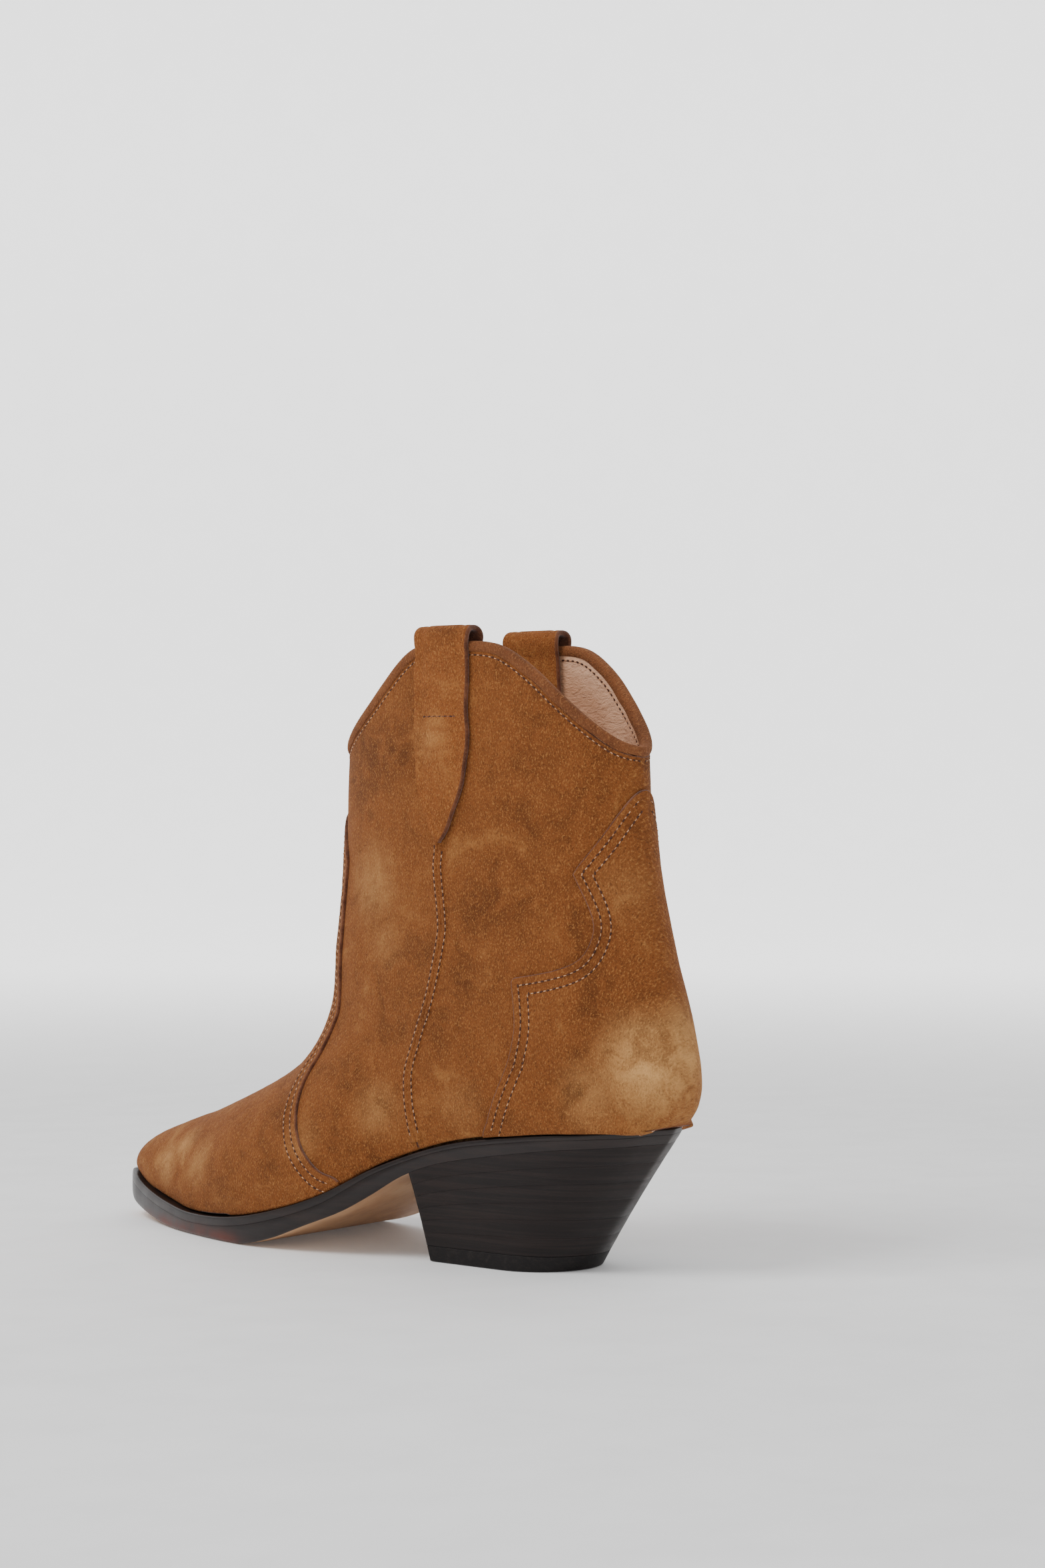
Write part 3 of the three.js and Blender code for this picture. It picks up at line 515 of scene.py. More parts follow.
# thread and needle marks along points with their surface normals; a needle mark is a small dark plug,
# painted shade for the depth of the hole
def sewn(points, normals):
    path = resampled(np.concatenate([points, normals], 1), stitch["pitch"] / 4)
    points, normals = path[:, :3], path[:, 3:]
    normals = normals / np.linalg.norm(normals, axis=1)[:, None]
    along = np.gradient(points, axis=0)
    along /= np.maximum(np.linalg.norm(along, axis=1), 1e-9)[:, None]
    made, faces, kind = [], [], []
    rings, sides, holeSides = stitch["rings"], stitch["sides"], stitch["holeSides"]
    for k in range(2, len(points) - 2, 4):
        slant = seed.uniform(-stitch["slant"], stitch["slant"])
        t, n = along[k], normals[k]
        s = np.cross(n, t)
        t = t + slant * s
        start = sum(len(m) for m in made)
        body = []
        for r in range(rings):
            f = 2 * r / (rings - 1) - 1
            thin = math.sqrt(max(1 - abs(f) ** 3, 0.02)) * stitch["radius"]
            rise = stitch["rise"] - stitch["endDip"] * f * f
            middle = points[k] + t * f * stitch["length"] / 2 + n * rise
            for j in range(sides):
                a = 2 * math.pi * j / sides
                body.append(middle + thin * (math.cos(a) * s + math.sin(a) * n))
        made.append(np.array(body))
        for f in gridFaces(rings, sides, closedColumns=True):
            faces.append([start + q for q in f])
            kind.append(0)
        faces.append([start + q for q in range(sides)])
        faces.append([start + (rings - 1) * sides + q for q in range(sides)])
        kind += [0, 0]
        start = sum(len(m) for m in made)
        hole = points[min(k + 2, len(points) - 1)]
        rim = []
        for level, share in ((stitch["holeLift"], 1.0), (-stitch["holeDepth"], stitch["holeNarrow"])):
            for j in range(holeSides):
                a = 2 * math.pi * j / holeSides
                across = math.cos(a) * t * stitch["holeLength"] / 2 + math.sin(a) * s * stitch["holeWidth"]
                rim.append(hole + share * across + n * level)
        made.append(np.array(rim))
        below = start + holeSides
        faces.append([start + q for q in range(holeSides)])
        faces.append([below + q for q in range(holeSides)])
        for q in range(holeSides):
            p = (q + 1) % holeSides
            faces.append([start + p, start + q, below + q, below + p])
        kind += [1] * (holeSides + 2)
    return np.concatenate(made), faces, kind


# rows of stitches as one piece; each row is points and normals
def stitchedPiece(name, rows, threadName="thread"):
    points, faces, kind = [], [], []
    for rowPoints, rowNormals in rows:
        made = sewn(rowPoints, rowNormals)
        start = sum(len(p) for p in points)
        points.append(made[0])
        faces += [[start + k for k in f] for f in made[1]]
        kind += made[2]
    finishes = [finish[threadName], finish["hole"]]
    makePiece(name, np.concatenate(points), faces, finishes, kind)


# stitch row on the skin beside a path, at a depth; where a tight corner would fold the row back on
# itself, its points lie nearer to the path than they should and are left out
def skinRow(path, distance, depth, cut=(0, 0), press=None):
    line = resampled(besidePath(path, distance) if np.any(distance) else path, 0.02)
    if np.any(distance):
        beside = bareSkin(line[:, 0], line[:, 1])
        edge = bareSkin(path[:, 0], path[:, 1])
        nearest = np.linalg.norm(beside[:, None] - edge[None], axis=2).min(1)
        line = line[nearest > 0.94 * abs(distance[0])]
    if cut[0] or cut[1]:
        point = bareSkin(line[:, 0], line[:, 1])
        length = np.concatenate([[0], np.cumsum(np.linalg.norm(np.diff(point, axis=0), axis=1))])
        line = line[(length >= cut[0]) & (length <= length[-1] - cut[1])]
    if press is not None:
        depth = depth + press(line, bareSkin(line[:, 0], line[:, 1]))
    return skin(line[:, 0], line[:, 1], depth), skinNormal(line[:, 0], line[:, 1])


# a colour given as it shows on screen, 0 to 255
def fromScreen(*rgb):
    return [((c / 255 + 0.055) / 1.055) ** 2.4 for c in rgb] + [1.0]


# builds one material's nodes; sockets are passed as values or as other nodes' outputs
class Finish:
    def __init__(self, name):
        self.made = bpy.data.materials.new(name)
        self.made.use_nodes = True
        self.tree = self.made.node_tree
        self.shader = self.tree.nodes["Principled BSDF"]
        self.place = self.add("ShaderNodeTexCoord").outputs["Object"]

    def add(self, kind, inputs=None, **settings):
        made = self.tree.nodes.new(kind)
        for key, value in settings.items():
            setattr(made, key, value)
        for key, value in (inputs or {}).items():
            self.put(made.inputs[key], value)
        return made

    def put(self, socket, value):
        if isinstance(value, bpy.types.NodeSocket):
            self.tree.links.new(value, socket)
        else:
            socket.default_value = value

    def shade(self, **inputs):
        for key, value in inputs.items():
            self.put(self.shader.inputs[key.replace("_", " ")], value)

    # space stretched along directions: size is how much finer each axis gets
    def stretched(self, turn, size):
        values = {"Vector": self.place, "Rotation": turn, "Scale": size}
        return self.add("ShaderNodeMapping", values).outputs[0]

    def noise(self, scale, detail=3.0, rough=0.55, at=None, warp=0.0):
        values = {"Vector": at or self.place, "Scale": scale, "Detail": detail}
        values.update({"Roughness": rough, "Distortion": warp})
        return self.add("ShaderNodeTexNoise", values).outputs["Fac"]

    def spread(self, value, low, high, toLow=0.0, toHigh=1.0):
        values = {"Value": value, "From Min": low, "From Max": high, "To Min": toLow, "To Max": toHigh}
        return self.add("ShaderNodeMapRange", values, interpolation_type="SMOOTHSTEP").outputs[0]

    def maths(self, how, a, b=0.0):
        return self.add("ShaderNodeMath", {0: a, 1: b}, operation=how, use_clamp=False).outputs[0]

    def blend(self, share, a, b):
        made = self.add("ShaderNodeMix", data_type="RGBA")
        self.put(made.inputs[0], share)
        self.put(made.inputs[6], a)
        self.put(made.inputs[7], b)
        return made.outputs[2]

    # soft round patch about a point of the boot
    def patch(self, u, x, z, radius):
        centre = place(u, x, z) * 0.001
        away = self.add("ShaderNodeVectorMath", {0: self.place, 1: list(centre)}, operation="DISTANCE")
        return self.spread(away.outputs["Value"], radius * 0.001, 0.0)

    def patches(self, places):
        most = None
        for u, x, z, radius, strength in places:
            one = self.maths("MULTIPLY", self.patch(u, x, z, radius), strength)
            most = one if most is None else self.maths("MAXIMUM", most, one)
        return most

    def bumped(self, *layers):
        normal = None
        for height, distance in layers:
            made = self.add("ShaderNodeBump", {"Height": height, "Distance": distance, "Strength": 1.0})
            if normal is not None:
                self.put(made.inputs["Normal"], normal)
            normal = made.outputs[0]
        self.shade(Normal=normal)


suedeLook = {
    "dark": (88, 47, 21), "mid": (129, 74, 36), "light": (168, 114, 63), "brushedAndLit": (214, 162, 102),
    "mauve": (142, 94, 76), "napLength": 0.0016, "napWidth": 0.00045,
    # u, x, z, radius and strength of the places painted lighter: partly brushed nap, partly a painted
    # highlight where light falls on the heel and ankle
    "brushedAndLitPlaces": [
        (-2, 14, 72, 27, 1.0), (-8, 0, 78, 24, 0.8), (0, -16, 72, 26, 0.8), (14, 26, 62, 20, 0.35),
        (115, 24, 132, 22, 0.34), (108, 25, 112, 16, 0.16), (197, 30, 27, 14, 0.35), (224, 21, 24, 13, 0.55),
        (212, 22, 32, 12, 0.5), (240, -10, 30, 12, 0.5), (222, -18, 32, 14, 0.45), (112, -22, 125, 20, 0.4),
        (105, 33, 53, 15, 0.3), (68, 31, 56, 14, 0.16), (84, 30, 184, 13, 0.14),
        (10, 12, 132, 18, 0.12), (137, 36, 40, 12, 0.2),
    ],
    # the same for the places painted darker: painted shade
    "paintedShadePlaces": [
        (101, 26, 178, 24, 0.9), (49, 27, 131, 26, 0.75), (40, 26, 152, 22, 0.5), (82, 30, 80, 22, 0.5),
        (96, 28, 96, 15, 0.4), (176, 37, 18, 18, 0.6), (150, 39, 31, 15, 0.6), (106, -26, 172, 26, 0.7),
        (50, -30, 136, 28, 0.6), (160, -34, 28, 20, 0.5), (232, 0, 42, 14, 0.35), (60, 30, 100, 18, 0.4),
        (14, 20, 98, 12, 0.3), (70, 30, 150, 16, 0.4),
    ],
}


def makeSuede(name, tone=1.0, mauve=0.0):
    f = Finish(name)
    look = suedeLook
    colours = {}
    for key in ("dark", "mid", "light", "brushedAndLit"):
        mixed = [mix(c, m, mauve) for c, m in zip(look[key], look["mauve"])]
        colours[key] = fromScreen(*[min(c * tone, 255) for c in mixed])
    clouds = f.noise(26, 4, 0.6, warp=0.6)
    swirls = f.noise(95, 4, 0.62, warp=1.2)
    streaked = f.stretched((0.5, 0.9, 0.6), (1 / look["napLength"] / 1000, 1 / look["napWidth"] / 1000, 1.2))
    nap = f.noise(1000, 2, 0.6, at=streaked)
    fibre = f.noise(2600, 1.5, 0.5)
    shade = f.maths("ADD", f.maths("MULTIPLY", clouds, 0.62), f.maths("MULTIPLY", swirls, 0.38))
    base = f.blend(f.spread(shade, 0.3, 0.54), colours["dark"], colours["mid"])
    base = f.blend(f.spread(shade, 0.53, 0.76), base, colours["light"])
    # darker patches broken up by the swirls: painted shade
    flat = f.maths("MULTIPLY", f.patches(look["paintedShadePlaces"]), f.spread(swirls, 0.75, 0.3))
    base = f.blend(flat, base, colours["dark"])
    fleck = f.spread(nap, 0.52, 0.7, 0.0, 0.75)
    base = f.blend(fleck, base, colours["light"])
    base = f.blend(f.spread(nap, 0.47, 0.27, 0.0, 0.6), base, colours["dark"])
    base = f.blend(f.spread(fibre, 0.6, 0.75, 0.0, 0.35), base, colours["light"])
    # lighter patches: partly brushed nap, partly painted highlight on the heel and ankle
    brushedAndLitPatches = f.patches(look["brushedAndLitPlaces"])
    mottle = f.maths("ADD", f.maths("MULTIPLY", swirls, 0.7), f.maths("MULTIPLY", nap, 0.3))
    broken = f.spread(mottle, 0.3, 0.62)
    brushedAndLitPatches = f.maths("MULTIPLY", brushedAndLitPatches, f.maths("ADD", f.maths("MULTIPLY", broken, 0.65), 0.35))
    base = f.blend(brushedAndLitPatches, base, colours["brushedAndLit"])
    f.shade(Base_Color=base, Roughness=0.95, Sheen_Weight=0.1, Sheen_Roughness=0.45)
    f.shade(Sheen_Tint=fromScreen(222, 176, 128), Specular_IOR_Level=0.18)
    f.bumped((swirls, 0.0008), (nap, 0.0007), (fibre, 0.0003))
    return f.made


# cut suede edge: brown, and darkened further so the thin overlay edges read as the shadow line beside them,
# painted shade
def makeRawEdgeWithShade(name):
    f = Finish(name)
    hairs = f.noise(1500, 3, 0.7)
    clouds = f.noise(160, 3, 0.6)
    base = f.blend(f.spread(clouds, 0.35, 0.65), fromScreen(82, 47, 31), fromScreen(114, 70, 47))
    base = f.blend(f.spread(hairs, 0.5, 0.72, 0.0, 0.4), base, fromScreen(150, 102, 72))
    f.shade(Base_Color=base, Roughness=0.95, Sheen_Weight=0.2, Specular_IOR_Level=0.15)
    f.bumped((clouds, 0.0002), (hairs, 0.0003))
    return f.made


def makeLiningLeather(name):
    f = Finish(name)
    drawn = f.stretched((0.2, 0.1, 0.3), (1, 1, 2.6))
    creases = f.noise(240, 5, 0.62, at=drawn, warp=0.8)
    clouds = f.noise(40, 3, 0.5)
    cells = f.add("ShaderNodeTexVoronoi", {"Vector": f.place, "Scale": 1500.0}, feature="SMOOTH_F1")
    grain = cells.outputs["Distance"]
    base = f.blend(f.spread(clouds, 0.35, 0.68), fromScreen(194, 144, 110), fromScreen(220, 174, 140))
    # the crease valleys are painted darker: painted shade in the lining's creases
    base = f.blend(f.spread(creases, 0.46, 0.34, 0.0, 0.3), base, fromScreen(150, 104, 80))
    f.shade(Base_Color=base, Roughness=0.62, Specular_IOR_Level=0.35, Sheen_Weight=0.08)
    f.bumped((creases, 0.0009), (grain, 0.00012))
    return f.made


# dark waxed edge: burnished, with fine layers and a red-brown rub low on the ball
def makeEdgeWax(name):
    f = Finish(name)
    layers = f.noise(420, 3, 0.6, at=f.stretched((0, 0, 0), (0.08, 0.08, 1)))
    smear = f.noise(55, 4, 0.6)
    split = f.add("ShaderNodeSeparateXYZ", {"Vector": f.place})
    low = f.spread(split.outputs["Z"], 0.0062, 0.0006)
    forward = f.spread(split.outputs["Y"], -0.03, -0.055)
    rub = f.maths("MULTIPLY", f.maths("MULTIPLY", low, forward), f.spread(smear, 0.3, 0.66))
    base = f.blend(f.spread(layers, 0.35, 0.7), fromScreen(24, 16, 15), fromScreen(36, 25, 22))
    base = f.blend(f.maths("MULTIPLY", rub, 0.8), base, fromScreen(104, 42, 24))
    f.shade(Base_Color=base, Roughness=f.spread(smear, 0.3, 0.7, 0.3, 0.42), Specular_IOR_Level=0.35)
    f.bumped((layers, 0.00004), (smear, 0.0001))
    return f.made


def makeSoleLeather(name):
    f = Finish(name)
    clouds = f.noise(30, 4, 0.6)
    pores = f.noise(900, 3, 0.7)
    drag = f.noise(120, 4, 0.65, at=f.stretched((0, 0, 0.15), (2.4, 0.5, 1)), warp=0.5)
    base = f.blend(f.spread(clouds, 0.3, 0.7), fromScreen(166, 122, 86), fromScreen(200, 158, 118))
    base = f.blend(f.spread(drag, 0.56, 0.75, 0.0, 0.35), base, fromScreen(120, 82, 56))
    f.shade(Base_Color=base, Roughness=0.5, Specular_IOR_Level=0.4)
    f.bumped((drag, 0.0002), (pores, 0.00008))
    return f.made


# stacked heel leather, almost black, with the lines of the thin layers it is glued up from
def makeHeelStack(name):
    f = Finish(name)
    layered = f.noise(900, 2, 0.5, at=f.stretched((0.12, 0, 0), (0.02, 0.02, 1)))
    grain = f.noise(260, 4, 0.65, at=f.stretched((0, 0, 0), (0.35, 0.35, 1)))
    clouds = f.noise(32, 3, 0.5)
    base = f.blend(f.spread(layered, 0.38, 0.66), fromScreen(22, 15, 14), fromScreen(32, 23, 21))
    base = f.blend(f.spread(clouds, 0.5, 0.75, 0.0, 0.25), base, fromScreen(44, 31, 27))
    f.shade(Base_Color=base, Roughness=f.spread(grain, 0.3, 0.7, 0.36, 0.48), Specular_IOR_Level=0.25)
    f.bumped((layered, 0.00004), (grain, 0.00004))
    return f.made


def makeRubber(name):
    f = Finish(name)
    dust = f.noise(400, 4, 0.7)
    base = f.blend(f.spread(dust, 0.45, 0.75), fromScreen(21, 17, 17), fromScreen(33, 28, 26))
    f.shade(Base_Color=base, Roughness=0.6, Specular_IOR_Level=0.25)
    f.bumped((dust, 0.0001))
    return f.made


# pressed or woven hidden materials, told apart by colour, grain size and gloss
def makeInner(name, low, high, scale, rough=0.9, metal=0.0, depth=0.0002):
    f = Finish(name)
    grain = f.noise(scale, 4, 0.65)
    clouds = f.noise(60, 3, 0.5)
    base = f.blend(f.spread(grain, 0.35, 0.68), fromScreen(*low), fromScreen(*high))
    base = f.blend(f.spread(clouds, 0.4, 0.7, 0.0, 0.3), base, fromScreen(*low))
    f.shade(Base_Color=base, Roughness=rough, Metallic=metal)
    f.bumped((grain, depth))
    return f.made


def makeThread(name, low, high):
    f = Finish(name)
    twist = f.add("ShaderNodeTexWave", {"Vector": f.stretched((0.7, 0.3, 0.5), (1, 1, 1)), "Scale": 1400.0})
    clouds = f.noise(300, 3, 0.6)
    base = f.blend(f.spread(clouds, 0.3, 0.7), fromScreen(*low), fromScreen(*high))
    f.shade(Base_Color=base, Roughness=0.6, Sheen_Weight=0.15, Specular_IOR_Level=0.4)
    f.bumped((twist.outputs["Fac"], 0.00008))
    return f.made


finish = {
    "suede": makeSuede("suede"),
    "strapSuede": makeSuede("strap suede", tone=1.05),
    "binding": makeSuede("binding suede", tone=0.95, mauve=0.3),
    "rawEdge": makeRawEdgeWithShade("raw suede edge with painted shade"),
    "lining": makeLiningLeather("lining leather"),
    "edgeWax": makeEdgeWax("waxed sole edge"),
    "soleLeather": makeSoleLeather("sole leather"),
    "heelStack": makeHeelStack("stacked heel leather"),
    "rubber": makeRubber("heel rubber"),
    "thread": makeThread("tan thread", (176, 124, 84), (214, 168, 128)),
    "darkThread": makeThread("brown thread", (96, 52, 28), (128, 74, 42)),
    # the needle marks are dark plugs: painted shade in the needle holes, made with the hidden materials'
    # recipe
    "hole": makeInner("needle hole painted shade", (58, 29, 13), (88, 47, 24), 900),
    "board": makeInner("leather board", (126, 96, 68), (168, 134, 100), 700),
    "cork": makeInner("pressed cork", (120, 84, 48), (186, 142, 94), 420, depth=0.0004),
    "fibre": makeInner("stiffener fibre", (186, 178, 160), (222, 216, 202), 1100),
    "steel": makeInner("plain steel", (120, 122, 126), (168, 170, 174), 300, 0.35, 1.0, 0.00003),
}
print("finishes made")

# the pieces inside the boot keep their own shapes and only get a finish
hiddenFinish = {
    "insole_board": "board", "bottom_filler": "cork", "shank": "steel", "vamp_backer": "fibre",
    "toe_puff": "fibre", "heel_stiffener": "fibre", "heel_screw": "steel",
}
for number in range(1, 5):
    hiddenFinish[f"heel_nail_{number}"] = "steel"
for node, kind in hiddenFinish.items():
    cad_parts[node].data.materials.clear()
    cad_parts[node].data.materials.append(finish[kind])


upper = {
    "overlayDepth": 0.0, "panelDepth": 1.45, "liningDepth": 3.2, "wall": 4.3,
    "overlayThick": 1.3, "panelThick": 1.3, "liningThick": 1.1,
    "underlap": 10, "bindingHeight": 3.2,
    "firstRow": 2.9, "secondRow": 6.3, "rowPress": 0.42, "rowWidth": 2.6, "edgeRoll": 0.3, "rollWidth": 1.6,
    "grain": 0.05, "grainLength": 4.2,
    "creases": 0.16, "creaseLength": 13, "fineCreases": 0.1, "fineLength": 7,
}


def belowTop(point):
    return sideOf(topOutline, point) * -1 - upper["bindingHeight"] - 0.1


# how far an overlay's surface dips along its two stitch rows and rolls down at its edge; the same
# dip is given to the stitches, so they lie in it
def pressedBy(line, sign):
    def press(grid, point):
        normal = skinNormal(grid[:, 0], grid[:, 1])
        distance = sign * sideOf(line, point) / np.maximum(np.abs(normal[:, 0]), 0.35)
        between = (upper["firstRow"] + upper["secondRow"]) / 2
        trough = upper["rowPress"] * bell(distance, between, upper["rowWidth"])
        roll = upper["edgeRoll"] * bell(distance, 0, upper["rollWidth"])
        return trough + roll + upper["grain"] * ripple(point, upper["grainLength"], 0.4)
    return press


def inFrontOf(line, shift=0.0):
    return lambda point: sideOf(line, point) - shift


def behindLine(line, shift=0.0):
    return lambda point: -sideOf(line, point) - shift


# a piece of the upper that reaches the sole and folds in under the boot
def upperPiece(name, trims, depth, thick, kinds, slotName, node, press=None):
    finishes = [finish[k] for k in kinds]
    leatherPiece(name, [footTrim] + trims, depth, thick, finishes, (node,), press)


overlay = (upper["overlayDepth"], upper["overlayThick"])
panel = (upper["panelDepth"], upper["panelThick"])
lining = (upper["liningDepth"], upper["liningThick"])
suedeEdge = ("suede", "rawEdge")

vampPress = pressedBy(vampOutline, 1)
counterPress = pressedBy(counterOutline, -1)
frontTrims = [inFrontOf(seamLine), belowTop, behindLine(vampOutline, -upper["underlap"])]
backTrims = [behindLine(seamLine), belowTop, inFrontOf(counterOutline, -upper["underlap"])]

upperPiece("vampSuede", [inFrontOf(vampOutline)], *overlay, suedeEdge, "suede", "vamp", vampPress)
upperPiece("counterSuede", [behindLine(counterOutline)], *overlay, suedeEdge, "suede", "counter_overlay",
           counterPress)
upperPiece("shaftFrontSuede", frontTrims, *panel, suedeEdge, "suede", "shaft_front")
upperPiece("shaftBackSuede", backTrims, *panel, suedeEdge, "suede", "shaft_back")
print("suede pieces made")


# soft creases of the lining
def creased(grid, point):
    broad = upper["creases"] * ripple(point, upper["creaseLength"], 0.7)
    return broad + upper["fineCreases"] * ripple(point, upper["fineLength"], 1.9)


liningPlain = ("lining", "lining")
splitLine = smoothLine(liningSplit)
frontLiningTrims = [inFrontOf(seamLine), behindLine(splitLine), belowTop]
backLiningTrims = [behindLine(seamLine), belowTop]

upperPiece("vampLiningSkin", [inFrontOf(splitLine)], *lining, liningPlain, "lining", "vamp_lining")
upperPiece("frontLiningSkin", frontLiningTrims, *lining, liningPlain, "lining", "lining_front", creased)
upperPiece("backLiningSkin", backLiningTrims, *lining, liningPlain, "lining", "lining_back", creased)
print("linings made")


binding = {"spacing": 1.1, "smoothing": 3, "sectionPoints": 30, "pucker": 0.06, "puckerLength": 9}

# section as depth below the skin and height above the top line, outer foot first
bindingSection = [
    [1.42, -3.75], [0.95, -3.35], [0.55, -2.5], [0.45, -1.6], [0.6, -0.8], [1.05, -0.3], [1.9, 0.0],
    [2.9, 0.05], [3.9, -0.05], [4.6, -0.5], [4.95, -1.3], [5.0, -2.3], [4.8, -3.2], [4.4, -3.5], [3.0, -3.1],
]


def topLoop():
    outerSide = onSkin(topOutline, 1)
    innerSide = onSkin(topOutline, -1)
    return np.concatenate([outerSide, innerSide[::-1]])


def makeBinding():
    loop = topLoop()
    both = np.concatenate([skin(loop[:, 0], loop[:, 1]), skinNormal(loop[:, 0], loop[:, 1])], 1)
    keep = np.linalg.norm(both[:, :3] - np.roll(both[:, :3], 1, 0), axis=1) > 0.4
    both = resampled(np.concatenate([both[keep], both[keep][:1]]), binding["spacing"])[:-1]
    for _ in range(binding["smoothing"]):
        both = (np.roll(both, 1, 0) + 2 * both + np.roll(both, -1, 0)) / 4
    point, normal = both[:, :3], both[:, 3:]
    normal /= np.linalg.norm(normal, axis=1)[:, None]
    along = np.roll(point, -1, 0) - np.roll(point, 1, 0)
    along /= np.linalg.norm(along, axis=1)[:, None]
    rise = np.cross(normal, along)
    rise *= np.sign(rise[:, 2:3])
    fold = 1 + binding["pucker"] * ripple(point, binding["puckerLength"], 0.3)
    rings = [
        point - normal * depth + rise * (height * fold)[:, None]
        for depth, height in smoothClosed(bindingSection, binding["sectionPoints"])
    ]
    rings = np.stack(rings, 1)
    sweptPiece("topBinding", rings, [finish["binding"]], ("top_binding",), closed=True)


def smoothClosed(points, count):
    points = np.asarray(points)
    padded = np.concatenate([points[-2:], points, points[:3]])
    return curveAt(padded, 2 + np.linspace(0, len(points), count, endpoint=False))


makeBinding()
print("binding made")


seamStrip = {
    "half": 2.7, "rise": 0.62, "bed": 0.05, "under": 0.5, "rows": 1.75, "creaseWidth": 0.42,
    "lowest": 33, "highest": 149,
}


def seamPath(side):
    line = seamLine[(seamLine[:, 1] > seamStrip["lowest"]) & (seamLine[:, 1] < seamStrip["highest"])]
    path = onSkin(line, side)
    point = bareSkin(path[:, 0], path[:, 1])
    return path[footTrim(point) > 1.2]


def makeSeamStrip(side, label):
    path = resampled(seamPath(side), 0.035)
    across = np.linspace(-1, 1, 17)
    bed = upper["panelDepth"] + seamStrip["bed"]
    rings = []
    for share in across:
        beside = besidePath(path, np.full(len(path), share * seamStrip["half"]))
        shape = (1 - abs(share) ** 3.2) - 0.75 * bell(share, 0, seamStrip["creaseWidth"] / seamStrip["half"])
        shape -= 0.3 * bell(abs(share) * seamStrip["half"], seamStrip["rows"], 0.5)
        rings.append(skin(beside[:, 0], beside[:, 1], bed - seamStrip["rise"] * shape))
    for share in across[::-1][1:-1:4]:
        beside = besidePath(path, np.full(len(path), share * seamStrip["half"]))
        rings.append(skin(beside[:, 0], beside[:, 1], upper["panelDepth"] + seamStrip["under"]))
    node = "seam_strip_" + label.lower()
    sweptPiece("seamStrip" + label, np.stack(rings, 1), [finish["suede"]], (node,))
    rows = []
    for share in (-1, 1):
        depth = upper["panelDepth"] - seamStrip["rise"] * 0.55
        rows.append(skinRow(path, np.full(len(path), share * seamStrip["rows"]), depth, cut=(2, 3)))
    stitchedPiece("seamStitches" + label, rows)


for side, label in ((1, "Outer"), (-1, "Inner")):
    makeSeamStrip(side, label)
print("side seams made")


strap = {
    "width": 24.5, "thick": 2.0, "centre": 78.6, "tip": 147, "leaf": 36, "innerEnd": 190, "shoulder": 212.5,
    "top": 222.9, "swell": 3.0, "fullness": 0.86, "edge": 0.75, "stitchInset": 3.2, "crossRow": 191,
    "crossHalf": 8.2, "outerGap": 0.1, "innerDepth": 5.15, "wallTop": 217.0, "sway": 0.35,
    "leafPoints": 46, "bendPoints": 27, "innerPoints": 8, "acrossPoints": 15,
}


def strapMiddle():
    tip, shoulder = strap["tip"], strap["shoulder"]
    outside = upper["panelDepth"] - strap["outerGap"] - strap["thick"] / 2
    inside = strap["innerDepth"] + strap["thick"] / 2
    count = strap["leafPoints"]
    path = [[outside, mix(tip, shoulder, (k / count) ** 1.15)] for k in range(count)]
    middle, reach = (outside + inside) / 2, (inside - outside) / 2
    rise = strap["top"] - strap["thick"] / 2 - shoulder
    for angle in np.linspace(0, math.pi, strap["bendPoints"]):
        swell = reach + strap["swell"] * math.sin(angle)
        across = math.copysign(abs(math.cos(angle)) ** strap["fullness"], math.cos(angle))
        lift = rise * max(math.sin(angle), 0) ** strap["fullness"]
        path.append([middle - swell * across, shoulder + lift])
    for k in range(1, strap["innerPoints"] + 1):
        path.append([inside, mix(shoulder, strap["innerEnd"], k / strap["innerPoints"])])
    return np.array(path)


def strapHalf(z):
    share = np.clip((z - strap["tip"]) / strap["leaf"], 0, 1)
    return np.maximum(0.7, strap["width"] / 2 * np.sin(share * math.pi / 2) ** 0.72)


# point of a strap: k along its middle, across from the middle in mm, out from its middle layer in mm
def strapPoint(side, path, k, across, out):
    k = np.asarray(k, float)
    depth, z = np.moveaxis(curveAt(path, k), -1, 0)
    before, after = curveAt(path, k - 0.5), curveAt(path, k + 0.5)
    along = after - before
    along /= np.maximum(np.linalg.norm(along, axis=-1), 1e-9)[..., None]
    u = strap["centre"] + across + 0 * z
    height = z + along[..., 0] * out
    level = np.minimum(height, strap["wallTop"])
    wall = onSkin(np.stack([u.ravel(), level.ravel()], 1), side)
    skinX = skin(wall[:, 0], wall[:, 1])[:, 0].reshape(u.shape)
    x = skinX - side * (depth - along[..., 1] * out)
    sway = strap["sway"] * np.sin(height * 0.11 + side)
    return np.stack([x, zeroU - u + sway * smooth(height, 150, 175), height], -1)


